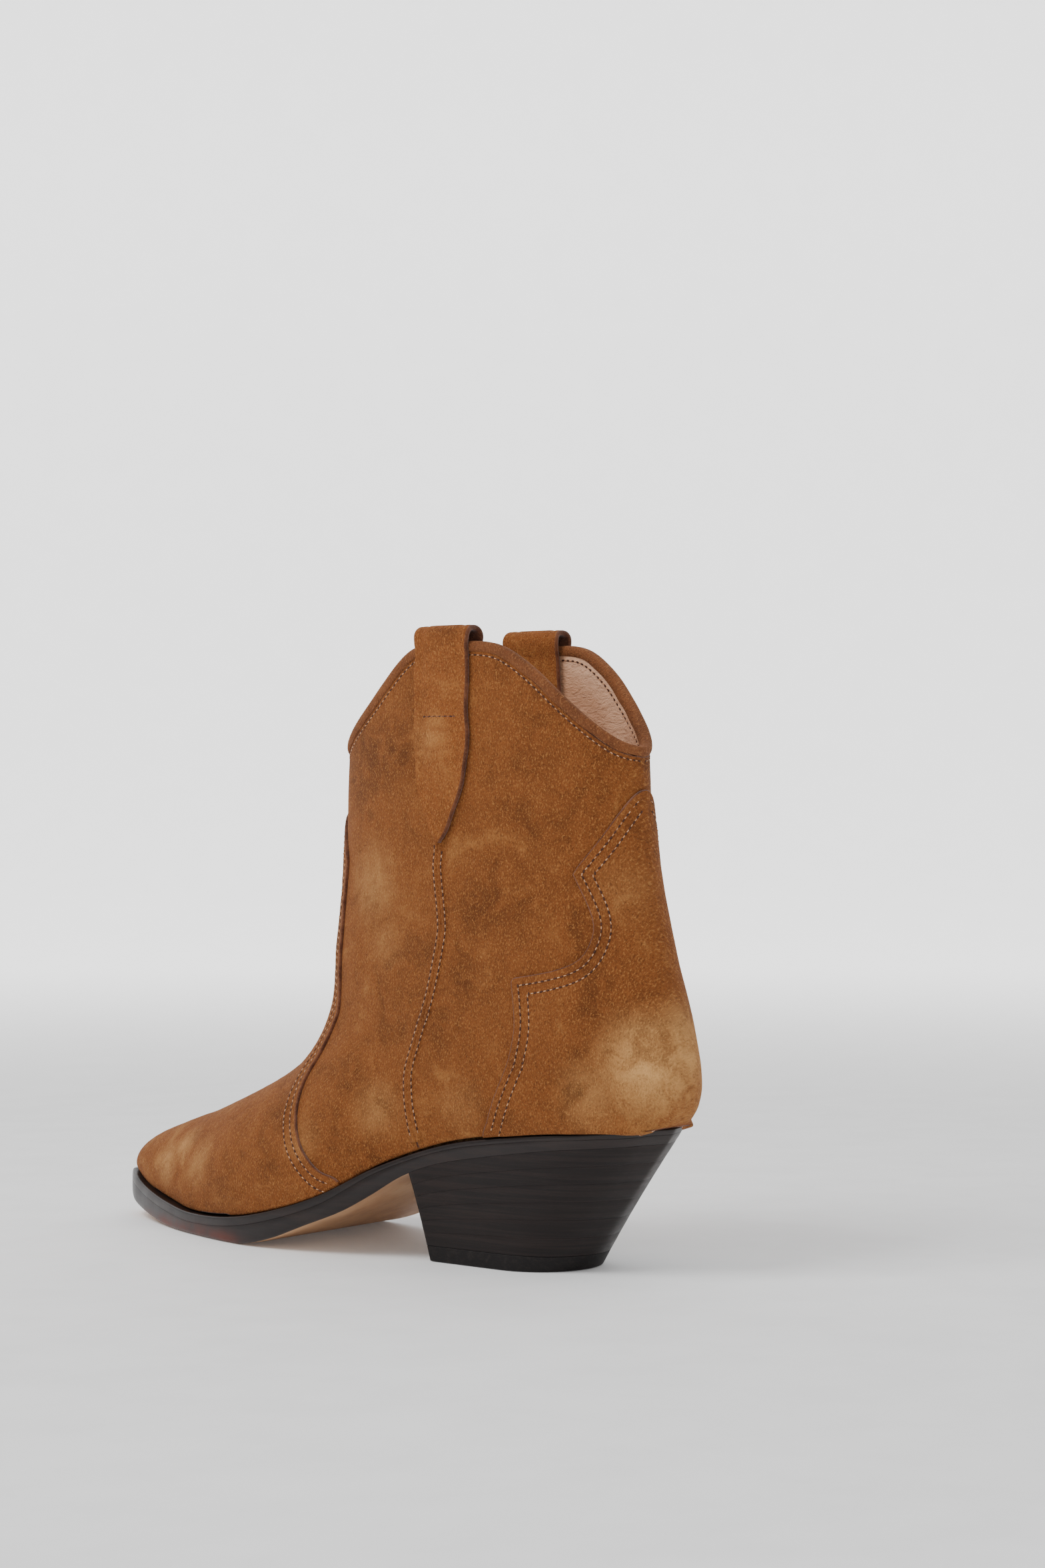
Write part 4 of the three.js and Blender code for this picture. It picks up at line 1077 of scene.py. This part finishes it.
def makeStrap(side, label):
    path = strapMiddle()
    rings = []
    half = strap["thick"] / 2
    flat = np.linspace(-1, 1, strap["acrossPoints"])
    bends = (0.45, 0.95, 1.57, 2.2, 2.7)
    for k in range(len(path)):
        wide = float(strapHalf(path[k][1])) if k < strap["leafPoints"] else strap["width"] / 2
        wide += 0.25 * math.sin(0.5 * k)
        inner = max(wide - strap["edge"], 0.2)
        pillow = 0.22 * (1 - flat ** 4) - 0.3 * bell(np.abs(flat) * wide, wide - strap["stitchInset"], 0.8)
        across = [s * inner for s in flat]
        out = [half - 0.12 + p for p in pillow]
        for a in bends:
            across.append(inner + (wide - inner) * math.sin(a))
            out.append(half * math.cos(a))
        across += [s * inner for s in flat[::-1]]
        out += [-half] * len(flat)
        for a in bends[::-1]:
            across.append(-inner - (wide - inner) * math.sin(a))
            out.append(half * math.cos(a))
        rings.append(strapPoint(side, path, np.full(len(across), float(k)), np.array(across), np.array(out)))
    raw = [0] * len(flat) + [1] * (len(flat) + 2 * len(bends))
    sweptPiece("pullStrap" + label, rings, [finish["strapSuede"], finish["rawEdge"]],
               ("pull_strap_" + label.lower(),), ringFinish=raw)
    leafHeights = path[:strap["leafPoints"], 1]
    level = np.full(30, np.interp(strap["crossRow"], leafHeights, np.arange(float(len(leafHeights)))))
    across = np.linspace(-1, 1, 30) * strap["crossHalf"]
    points = strapPoint(side, path, level, across, np.full(30, half + 0.05))
    row = (points, strapNormals(side, path, level, across))
    stitchedPiece("pullStrapStitches" + label, [row], threadName="darkThread")


def strapNormals(side, path, k, across):
    high = strapPoint(side, path, k, across, np.full(len(k), 1.0))
    low = strapPoint(side, path, k, across, np.full(len(k), -1.0))
    return (high - low) / np.linalg.norm(high - low, axis=1)[:, None]


for side, label in ((1, "Outer"), (-1, "Inner")):
    makeStrap(side, label)
print("pull straps made")


# distances are towards the toe from a line that runs up
def sewUpper(name, line, distances, press, keep):
    rows = []
    for side in (1, -1):
        path = onSkin(line, side)
        path = path[keep(bareSkin(path[:, 0], path[:, 1]))]
        for distance in distances:
            offset = np.full(len(path), side * distance)
            rows.append(skinRow(path, offset, upper["overlayDepth"] - 0.03, (1, 1), press))
    stitchedPiece(name, rows)


def offTheSole(point):
    return footTrim(point) > 1.5


sewUpper("vampStitches", vampOutline, (upper["firstRow"], upper["secondRow"]),
         vampPress, offTheSole)
sewUpper("counterStitches", counterOutline, (-upper["firstRow"], -upper["secondRow"]),
         counterPress, offTheSole)


topRows = {"outsideDrop": 4.9, "insideDrop": 5.2, "outsideDepth": 0.02, "insideDepth": 0.15}


# the row under the binding, at a drop below the top line; flip is -1 for the side that faces inward
def sewTop(name, drop, depth, flip):
    rows = []
    for side in (1, -1):
        path = onSkin(shifted(topOutline, drop), side)
        points, normals = skinRow(path, 0, depth)
        rows.append((points, normals * flip))
    stitchedPiece(name, rows)


sewTop("topStitchesOutside", topRows["outsideDrop"], upper["panelDepth"] + topRows["outsideDepth"], 1)
sewTop("topStitchesInside", topRows["insideDrop"], upper["wall"] + topRows["insideDepth"], -1)
print("stitch rows made")


treadLine = [
    [272, 9.8], [250, 4.4], [230, 1.3], [212, 0], [190, -0.5], [168, 0], [151, 3.6], [134, 9.8], [119, 15.6],
    [107, 22.2], [94, 30], [80, 35], [60, 38.8], [30, 43], [0, 45.2], [-14, 45.6],
]
treadPath = smoothLine(treadLine, 1.0)[::-1]
sole = {
    "toeLedge": 3.2, "waistLedge": 0.6, "seatLedge": -1.0, "backLedge": -3.0,
    "weltThick": 3.0, "seatWeltThick": 1.6, "spacing": 0.55, "smoothing": 44,
    "wheelPitch": 1.7, "wheelDepth": 0.22,
}


def treadHeight(u):
    return np.maximum(0, np.interp(u, treadPath[:, 0], treadPath[:, 1]))


# how far the sole's edge stands out past the seat outline; negative where it stands in
def ledgeAt(row):
    toWaist = (sole["waistLedge"] - sole["toeLedge"]) * smooth(row, 3.5, 7.5)
    toSeat = (sole["seatLedge"] - sole["waistLedge"]) * smooth(row, 8, 10)
    toBack = (sole["backLedge"] - sole["seatLedge"]) * smooth(row, 11.5, 13.2)
    return sole["toeLedge"] + toWaist + toSeat + toBack


def weltThick(u):
    return mix(sole["weltThick"], sole["seatWeltThick"], 1 - smooth(u, 97, 130))


# u and x of the seat outline on one side, and its outward direction
def outlineAt(row, side):
    def at(r):
        table = curveAt(lastSections, np.clip(r, 0, backRow))
        return np.stack([table[..., 2], table[..., 7] + side * np.maximum(table[..., 5], 0.3)], -1)
    along = at(row + 0.03) - at(row - 0.03)
    outward = side * np.stack([along[..., 1], -along[..., 0]], -1)
    outward /= np.maximum(np.linalg.norm(outward, axis=-1), 1e-9)[..., None]
    outward = np.where((row < 0.01)[..., None], [1.0, 0.0], outward)
    outward = np.where((row > backRow - 0.01)[..., None], [-1.0, 0.0], outward)
    return at(row), outward


# slope of the sole's and heel's edge inward on the way down, over the heel only
def leanAt(row):
    return mix(0.08, 0.6, smooth(row, 11, 13.2)) * smooth(row, 8.8, 9.8)


# rows evenly spaced along the sole's edge, toe to heel
def soleRows(first, last, spacing):
    fine = np.linspace(first, last, 1500)
    point, outward = outlineAt(fine, 1)
    edge = point + outward * ledgeAt(fine)[:, None]
    length = np.concatenate([[0], np.cumsum(np.linalg.norm(np.diff(edge, axis=0), axis=1))])
    return np.interp(np.linspace(0, length[-1], int(length[-1] / spacing)), length, fine)


# loop of edge points (outer side from the toe to the heel, inner side back) and outward directions
def soleLoop(rows):
    outer, outerWay = outlineAt(rows, 1)
    inner, innerWay = outlineAt(rows, -1)
    grow = ledgeAt(rows)[:, None]
    loop = np.concatenate([outer + outerWay * grow, (inner + innerWay * grow)[::-1]])
    way = np.concatenate([outerWay, innerWay[::-1]])
    for _ in range(sole["smoothing"]):
        loop = (np.roll(loop, 1, 0) + 2 * loop + np.roll(loop, -1, 0)) / 4
        way = (np.roll(way, 1, 0) + 2 * way + np.roll(way, -1, 0)) / 4
    return loop, way / np.linalg.norm(way, axis=1)[:, None]


# a sheet of the bottom: edge rings by (inset, height), top first, and flat faces across; kinds numbers
# the finish of each band between rings, then of the flat above and the flat below
def bottomPiece(name, rows, edgeRings, finishes, kinds, replaced, across=8):
    loop, way = soleLoop(rows)
    half = len(rows)
    lean = np.concatenate([leanAt(rows), leanAt(rows)[::-1]])
    rings = []
    for inset, height in edgeRings:
        inward = inset + lean * (footHeight(loop[:, 0]) - height)
        rings.append(place(*(loop - way * inward[:, None]).T, height))
    points = list(np.concatenate(rings))
    total = 2 * half
    faces, kind = [], []
    for k in range(len(rings) - 1):
        for i in range(total):
            j = (i + 1) % total
            faces.append([k * total + i, k * total + j, (k + 1) * total + j, (k + 1) * total + i])
            kind.append(kinds[k])
    for ring, mark in ((0, kinds[-2]), (len(rings) - 1, kinds[-1])):
        base = ring * total
        columns = [[base + i for i in range(half)]]
        outer = np.array(points[base:base + half])
        inner = np.array(points[base + half:base + total])[::-1]
        for c in range(1, across):
            start = len(points)
            points += list(mix(outer, inner, c / across))
            columns.append([start + i for i in range(half)])
        columns.append([base + total - 1 - i for i in range(half)])
        for a, b in zip(columns[:-1], columns[1:]):
            for i in range(half - 1):
                faces.append([a[i], a[i + 1], b[i + 1], b[i]])
                kind.append(mark)
    makePiece(name, points, faces, finishes, kind, replaced)


def makeWelt():
    rows = soleRows(0, backRow, sole["spacing"])
    loop, way = soleLoop(rows)
    u = loop[:, 0]
    top = footHeight(u) - 0.06
    bottom = footHeight(u) - 0.47 - weltThick(u)
    length = np.concatenate([[0], np.cumsum(np.linalg.norm(np.diff(loop, axis=0), axis=1))])
    showing = smooth(np.concatenate([ledgeAt(rows), ledgeAt(rows)[::-1]]), 0.9, 2.2)
    wheel = sole["wheelDepth"] * showing * (0.5 + 0.5 * np.sin(2 * math.pi * length / sole["wheelPitch"]))
    edgeRings = [
        (3.6, top), (2.6, top - wheel), (1.5, top - wheel), (0.9, top - 0.5 * wheel), (0.35, top - 0.12),
        (0.06, top - 0.4), (-0.05, top - 0.9), (-0.12, mix(top, bottom, 0.55)), (-0.14, bottom + 0.1),
        (-0.1, bottom + 0.02), (0.5, bottom),
    ]
    kinds = [0] * 12
    bottomPiece("midsoleWelt", rows, edgeRings, [finish["edgeWax"]], kinds, ("midsole_welt",), 2)


def makeOutsole():
    rows = soleRows(0, backRow, sole["spacing"])
    loop, _ = soleLoop(rows)
    u = loop[:, 0]
    top = footHeight(u) - 0.5 - weltThick(u)
    bottom = treadHeight(u)
    deep = np.maximum(top - bottom, 1.2)
    ahead = smooth(u, 92, 112)
    edgeRings = [
        (0.5, top), (-0.1, top - 0.02), (-0.14, top - 0.1), (-0.15, top - 0.35 * deep),
        (-0.12, bottom + 0.4 * deep), (0.06 * ahead - 0.04, bottom + 0.22 * deep),
        (0.25 * ahead, bottom + mix(0.2, 0.5, ahead)),
        (0.55 * ahead, bottom + mix(0.02, 0.2, ahead)), (0.4 + 0.65 * ahead, bottom + 0.03 * ahead),
        (1.5, bottom), (3.2, bottom), (4.0, bottom + 0.14), (4.7, bottom), (6.5, bottom),
    ]
    kinds = [0] * 8 + [1] * 5 + [0, 1]
    finishes = [finish["edgeWax"], finish["soleLeather"]]
    bottomPiece("outsole", rows, edgeRings, finishes, kinds, ("outsole",))


makeWelt()
makeOutsole()
print("welt and sole made")


heel = {
    "lifts": 6, "topPiece": 5.5, "bottomBack": 33, "bottomFront": 87, "bottomHalf": 22, "bottomCentre": 2.5,
    "hollowBack": 0.7, "hollowSides": 0.5, "groove": 0.03, "topPieceEase": 0.3, "gap": 0.05,
    "samples": 110, "smoothing": 26,
}


# edge of the heel: points at the seat and on the floor, and outward directions, round from breast to breast
def heelLoop():
    rows = np.linspace(breastRow, backRow, heel["samples"])
    rows = rows + 0.35 * (smooth(rows, breastRow, backRow) - (rows - breastRow) / (backRow - breastRow))
    share = np.clip((rows - breastRow) / (roundRow - breastRow), 0, 1)
    angle = np.maximum((rows - roundRow) / (backRow - roundRow), 0) * math.pi / 2
    roundCentre = heel["bottomBack"] + heel["bottomHalf"]
    sideU = mix(heel["bottomFront"], roundCentre, share)
    floorU = sideU - heel["bottomHalf"] * np.sin(angle)
    floorHalf = np.maximum(heel["bottomHalf"] * np.cos(angle), 0.05)
    seats, floors, ways = [], [], []
    for side in (1, -1):
        point, outward = outlineAt(rows, side)
        seat = point + outward * ledgeAt(rows)[:, None]
        floor = np.stack([floorU, heel["bottomCentre"] + side * floorHalf], 1)
        order = slice(None) if side > 0 else slice(None, None, -1)
        seats.append(seat[order])
        floors.append(floor[order])
        ways.append(outward[order])
    edges = np.concatenate([np.concatenate(seats), np.concatenate(floors), np.concatenate(ways)], 1)
    for _ in range(heel["smoothing"]):
        edges[1:-1] = (edges[:-2] + 2 * edges[1:-1] + edges[2:]) / 4
    ways = edges[:, 4:] / np.linalg.norm(edges[:, 4:], axis=1)[:, None]
    lean = np.concatenate([leanAt(rows), leanAt(rows)[::-1]])
    return edges[:, :2], edges[:, 2:4], ways, np.concatenate([angle, angle[::-1]]), lean


heelSeat, heelFloor, heelWay, heelAngle, heelLean = heelLoop()
heelTop = treadHeight(heelSeat[:, 0]) - 0.03
heelSeat = heelSeat - heelWay * (heelLean * (footHeight(heelSeat[:, 0]) - heelTop))[:, None]


# ring of the heel's side at heights, moved in by an inset
def heelRing(height, inset):
    share = height / heelTop
    edge = mix(heelFloor, heelSeat, share[:, None])
    hollow = mix(heel["hollowSides"], heel["hollowBack"], np.sin(heelAngle)) * 4 * share * (1 - share)
    return place(*(edge - heelWay * (hollow + inset)[:, None]).T, height)


# a slice of the heel between two sets of heights, its edges eased so a fine line shows at each joint
def heelSlice(name, upperHeight, lowerHeight, kindName, node, ease):
    steps = [(upperHeight, 1.2), (upperHeight, ease), (upperHeight - 0.5 * ease, 0.3 * ease)]
    steps += [(upperHeight - 1.3 * ease, 0.0), (mix(upperHeight, lowerHeight, 0.5), -0.04)]
    steps += [(lowerHeight + 1.3 * ease, 0.0), (lowerHeight + 0.5 * ease, 0.3 * ease), (lowerHeight, ease)]
    steps += [(lowerHeight, 1.6)]
    rings = [heelRing(height, np.full(len(height), inset)) for height, inset in steps]
    total = len(rings[0])
    half = total // 2
    points = np.concatenate(rings)
    faces = gridFaces(len(rings), total, closedColumns=True)
    for base in (0, (len(rings) - 1) * total):
        for i in range(half - 1):
            faces.append([base + i, base + i + 1, base + total - 2 - i, base + total - 1 - i])
    makePiece(name, points, faces, [finish[kindName]], None, (node,))


def makeHeel():
    above = heelTop
    base = np.full(len(heelTop), heel["topPiece"] + heel["gap"])
    for number in range(1, heel["lifts"] + 1):
        upperHeight = mix(above, base, (number - 1) / heel["lifts"]) - (0.0 if number == 1 else 0.03)
        lowerHeight = mix(above, base, number / heel["lifts"])
        heelSlice(f"heelLift{number}", upperHeight, lowerHeight, "heelStack", f"heel_lift_{number}",
                  heel["groove"])
    floor = np.zeros(len(heelTop))
    heelSlice("topPiece", base - heel["gap"], floor, "rubber", "top_piece", heel["topPieceEase"])


makeHeel()
print("heel made")


sock = {
    "inset": 7.6, "height": 8.1, "thick": 1.0, "crown": 0.5, "edgeDrop": 0.3,
    "firstRow": 0.9, "spacing": 2.2, "narrowest": 3, "acrossPoints": 17,
}


def makeSock():
    rows = soleRows(sock["firstRow"], backRow, sock["spacing"])
    outer, outerWay = outlineAt(rows, 1)
    inner, innerWay = outlineAt(rows, -1)
    outer = outer - outerWay * sock["inset"]
    inner = inner - innerWay * sock["inset"]
    wide = outer[:, 1] - inner[:, 1] > sock["narrowest"]
    outer, inner = outer[wide], inner[wide]
    across = np.linspace(0, 1, sock["acrossPoints"])
    rings = []
    for o, i in zip(outer, inner):
        u = mix(o[0], i[0], across)
        x = mix(o[1], i[1], across)
        crown = sock["crown"] * (2 * np.abs(across - 0.5)) ** 3
        top = place(u, x, footHeight(u) + sock["height"] + crown)
        top[0, 2] -= sock["edgeDrop"]
        top[-1, 2] -= sock["edgeDrop"]
        under = place(u, x, footHeight(u) + sock["height"] - sock["thick"])[::-1]
        rings.append(np.concatenate([top, under]))
    sweptPiece("sockLining", rings, [finish["lining"]], ("sock_lining",))


makeSock()
print("sock made")


# metres; the paper runs level under the boot and bends up behind it
paper = {
    "front": 2.2, "back": 2.6, "bend": 0.9, "height": 3.0, "halfWidth": 3.2, "gap": 0.0002,
    "glowNear": 0.05, "glowFar": 1.3, "glowStart": 0.45, "glowEnd": 1.9,
}
# turn is in degrees round from the boot's outer side; lengths are in millimetres
cameraPlace = {
    "turn": 39.2, "away": 1120, "right": 26.9, "height": 167.5, "aimU": 100, "lens": 71.45, "sensor": 36,
}
# metres and watts
lamps = {
    "key": {"where": (0.9, -0.35, 1.35), "size": (0.8, 0.8), "power": 17.0},
    "fill": {"where": (1.0, 1.3, 0.6), "size": (1.2, 1.0), "power": 3.4},
    "top": {"where": (-0.3, 0.3, 1.7), "size": (1.5, 1.5), "power": 5.0},
}
lampAim = (0, 0, 0.1)
worldTone = 0.55


# level directions from the boot to the camera and to the camera's right
def cameraWays():
    angle = math.radians(cameraPlace["turn"])
    away = np.array([math.cos(angle), math.sin(angle), 0])
    return away, np.array([-away[1], away[0], 0])


def makeFloor():
    f = Finish("studio paper")
    fibres = f.noise(30, 3, 0.6)
    base = f.blend(f.spread(fibres, 0.3, 0.7), fromScreen(240, 240, 240), fromScreen(245, 245, 245))
    f.shade(Base_Color=base, Roughness=0.9, Specular_IOR_Level=0.1)
    distance = f.add("ShaderNodeVectorMath", {0: f.place}, operation="LENGTH").outputs["Value"]
    glow = f.spread(distance, paper["glowStart"], paper["glowEnd"], paper["glowNear"], paper["glowFar"])
    f.shade(Emission_Color=(1, 1, 1, 1), Emission_Strength=glow)
    back, bend = paper["back"], paper["bend"]
    profile = [(paper["front"], 0.0), (bend - back, 0.0)]
    for a in np.linspace(0.1, math.pi / 2, 14):
        profile.append((bend - back - bend * math.sin(a), bend - bend * math.cos(a)))
    profile.append((-back, paper["height"]))
    away, right = cameraWays()
    points, faces = [], []
    for reach, z in profile:
        for side in (-paper["halfWidth"], paper["halfWidth"]):
            points.append(away * reach + right * side + np.array([0, 0, z - paper["gap"]]))
    for k in range(len(profile) - 1):
        faces.append([2 * k, 2 * k + 1, 2 * k + 3, 2 * k + 2])
    mesh = bpy.data.meshes.new("floor")
    mesh.from_pydata([list(p) for p in points], [], faces)
    mesh.materials.append(f.made)
    mesh.polygons.foreach_set("use_smooth", [True] * len(faces))
    floor = bpy.data.objects.new("floor", mesh)
    bpy.context.scene.collection.objects.link(floor)


def makeLamp(name, where, size, power):
    data = bpy.data.lights.new(name, "AREA")
    data.shape = "RECTANGLE"
    data.size = size[0]
    data.size_y = size[1]
    data.energy = power
    lamp = bpy.data.objects.new(name, data)
    lamp.location = where
    lamp.rotation_euler = (Vector(lampAim) - Vector(where)).to_track_quat("-Z", "Y").to_euler()
    bpy.context.scene.collection.objects.link(lamp)


def makeCamera():
    away, right = cameraWays()
    data = bpy.data.cameras.new("camera")
    data.sensor_fit = "VERTICAL"
    data.sensor_height = cameraPlace["sensor"]
    data.lens = cameraPlace["lens"]
    data.clip_start = 0.05
    camera = bpy.data.objects.new("camera", data)
    aim = place(cameraPlace["aimU"], 0, cameraPlace["height"])
    camera.location = (aim + right * cameraPlace["right"] + away * cameraPlace["away"]) * 0.001
    camera.rotation_euler = (math.pi / 2, 0, math.atan2(away[1], away[0]) + math.pi / 2)
    bpy.context.scene.collection.objects.link(camera)
    bpy.context.scene.camera = camera


def makeWorld():
    world = bpy.data.worlds.new("studio")
    world.use_nodes = True
    world.node_tree.nodes["Background"].inputs[0].default_value = (worldTone, worldTone, worldTone, 1)
    bpy.context.scene.world = world


makeFloor()
makeWorld()
for name, lamp in lamps.items():
    makeLamp(name, **lamp)
makeCamera()
print("studio made")
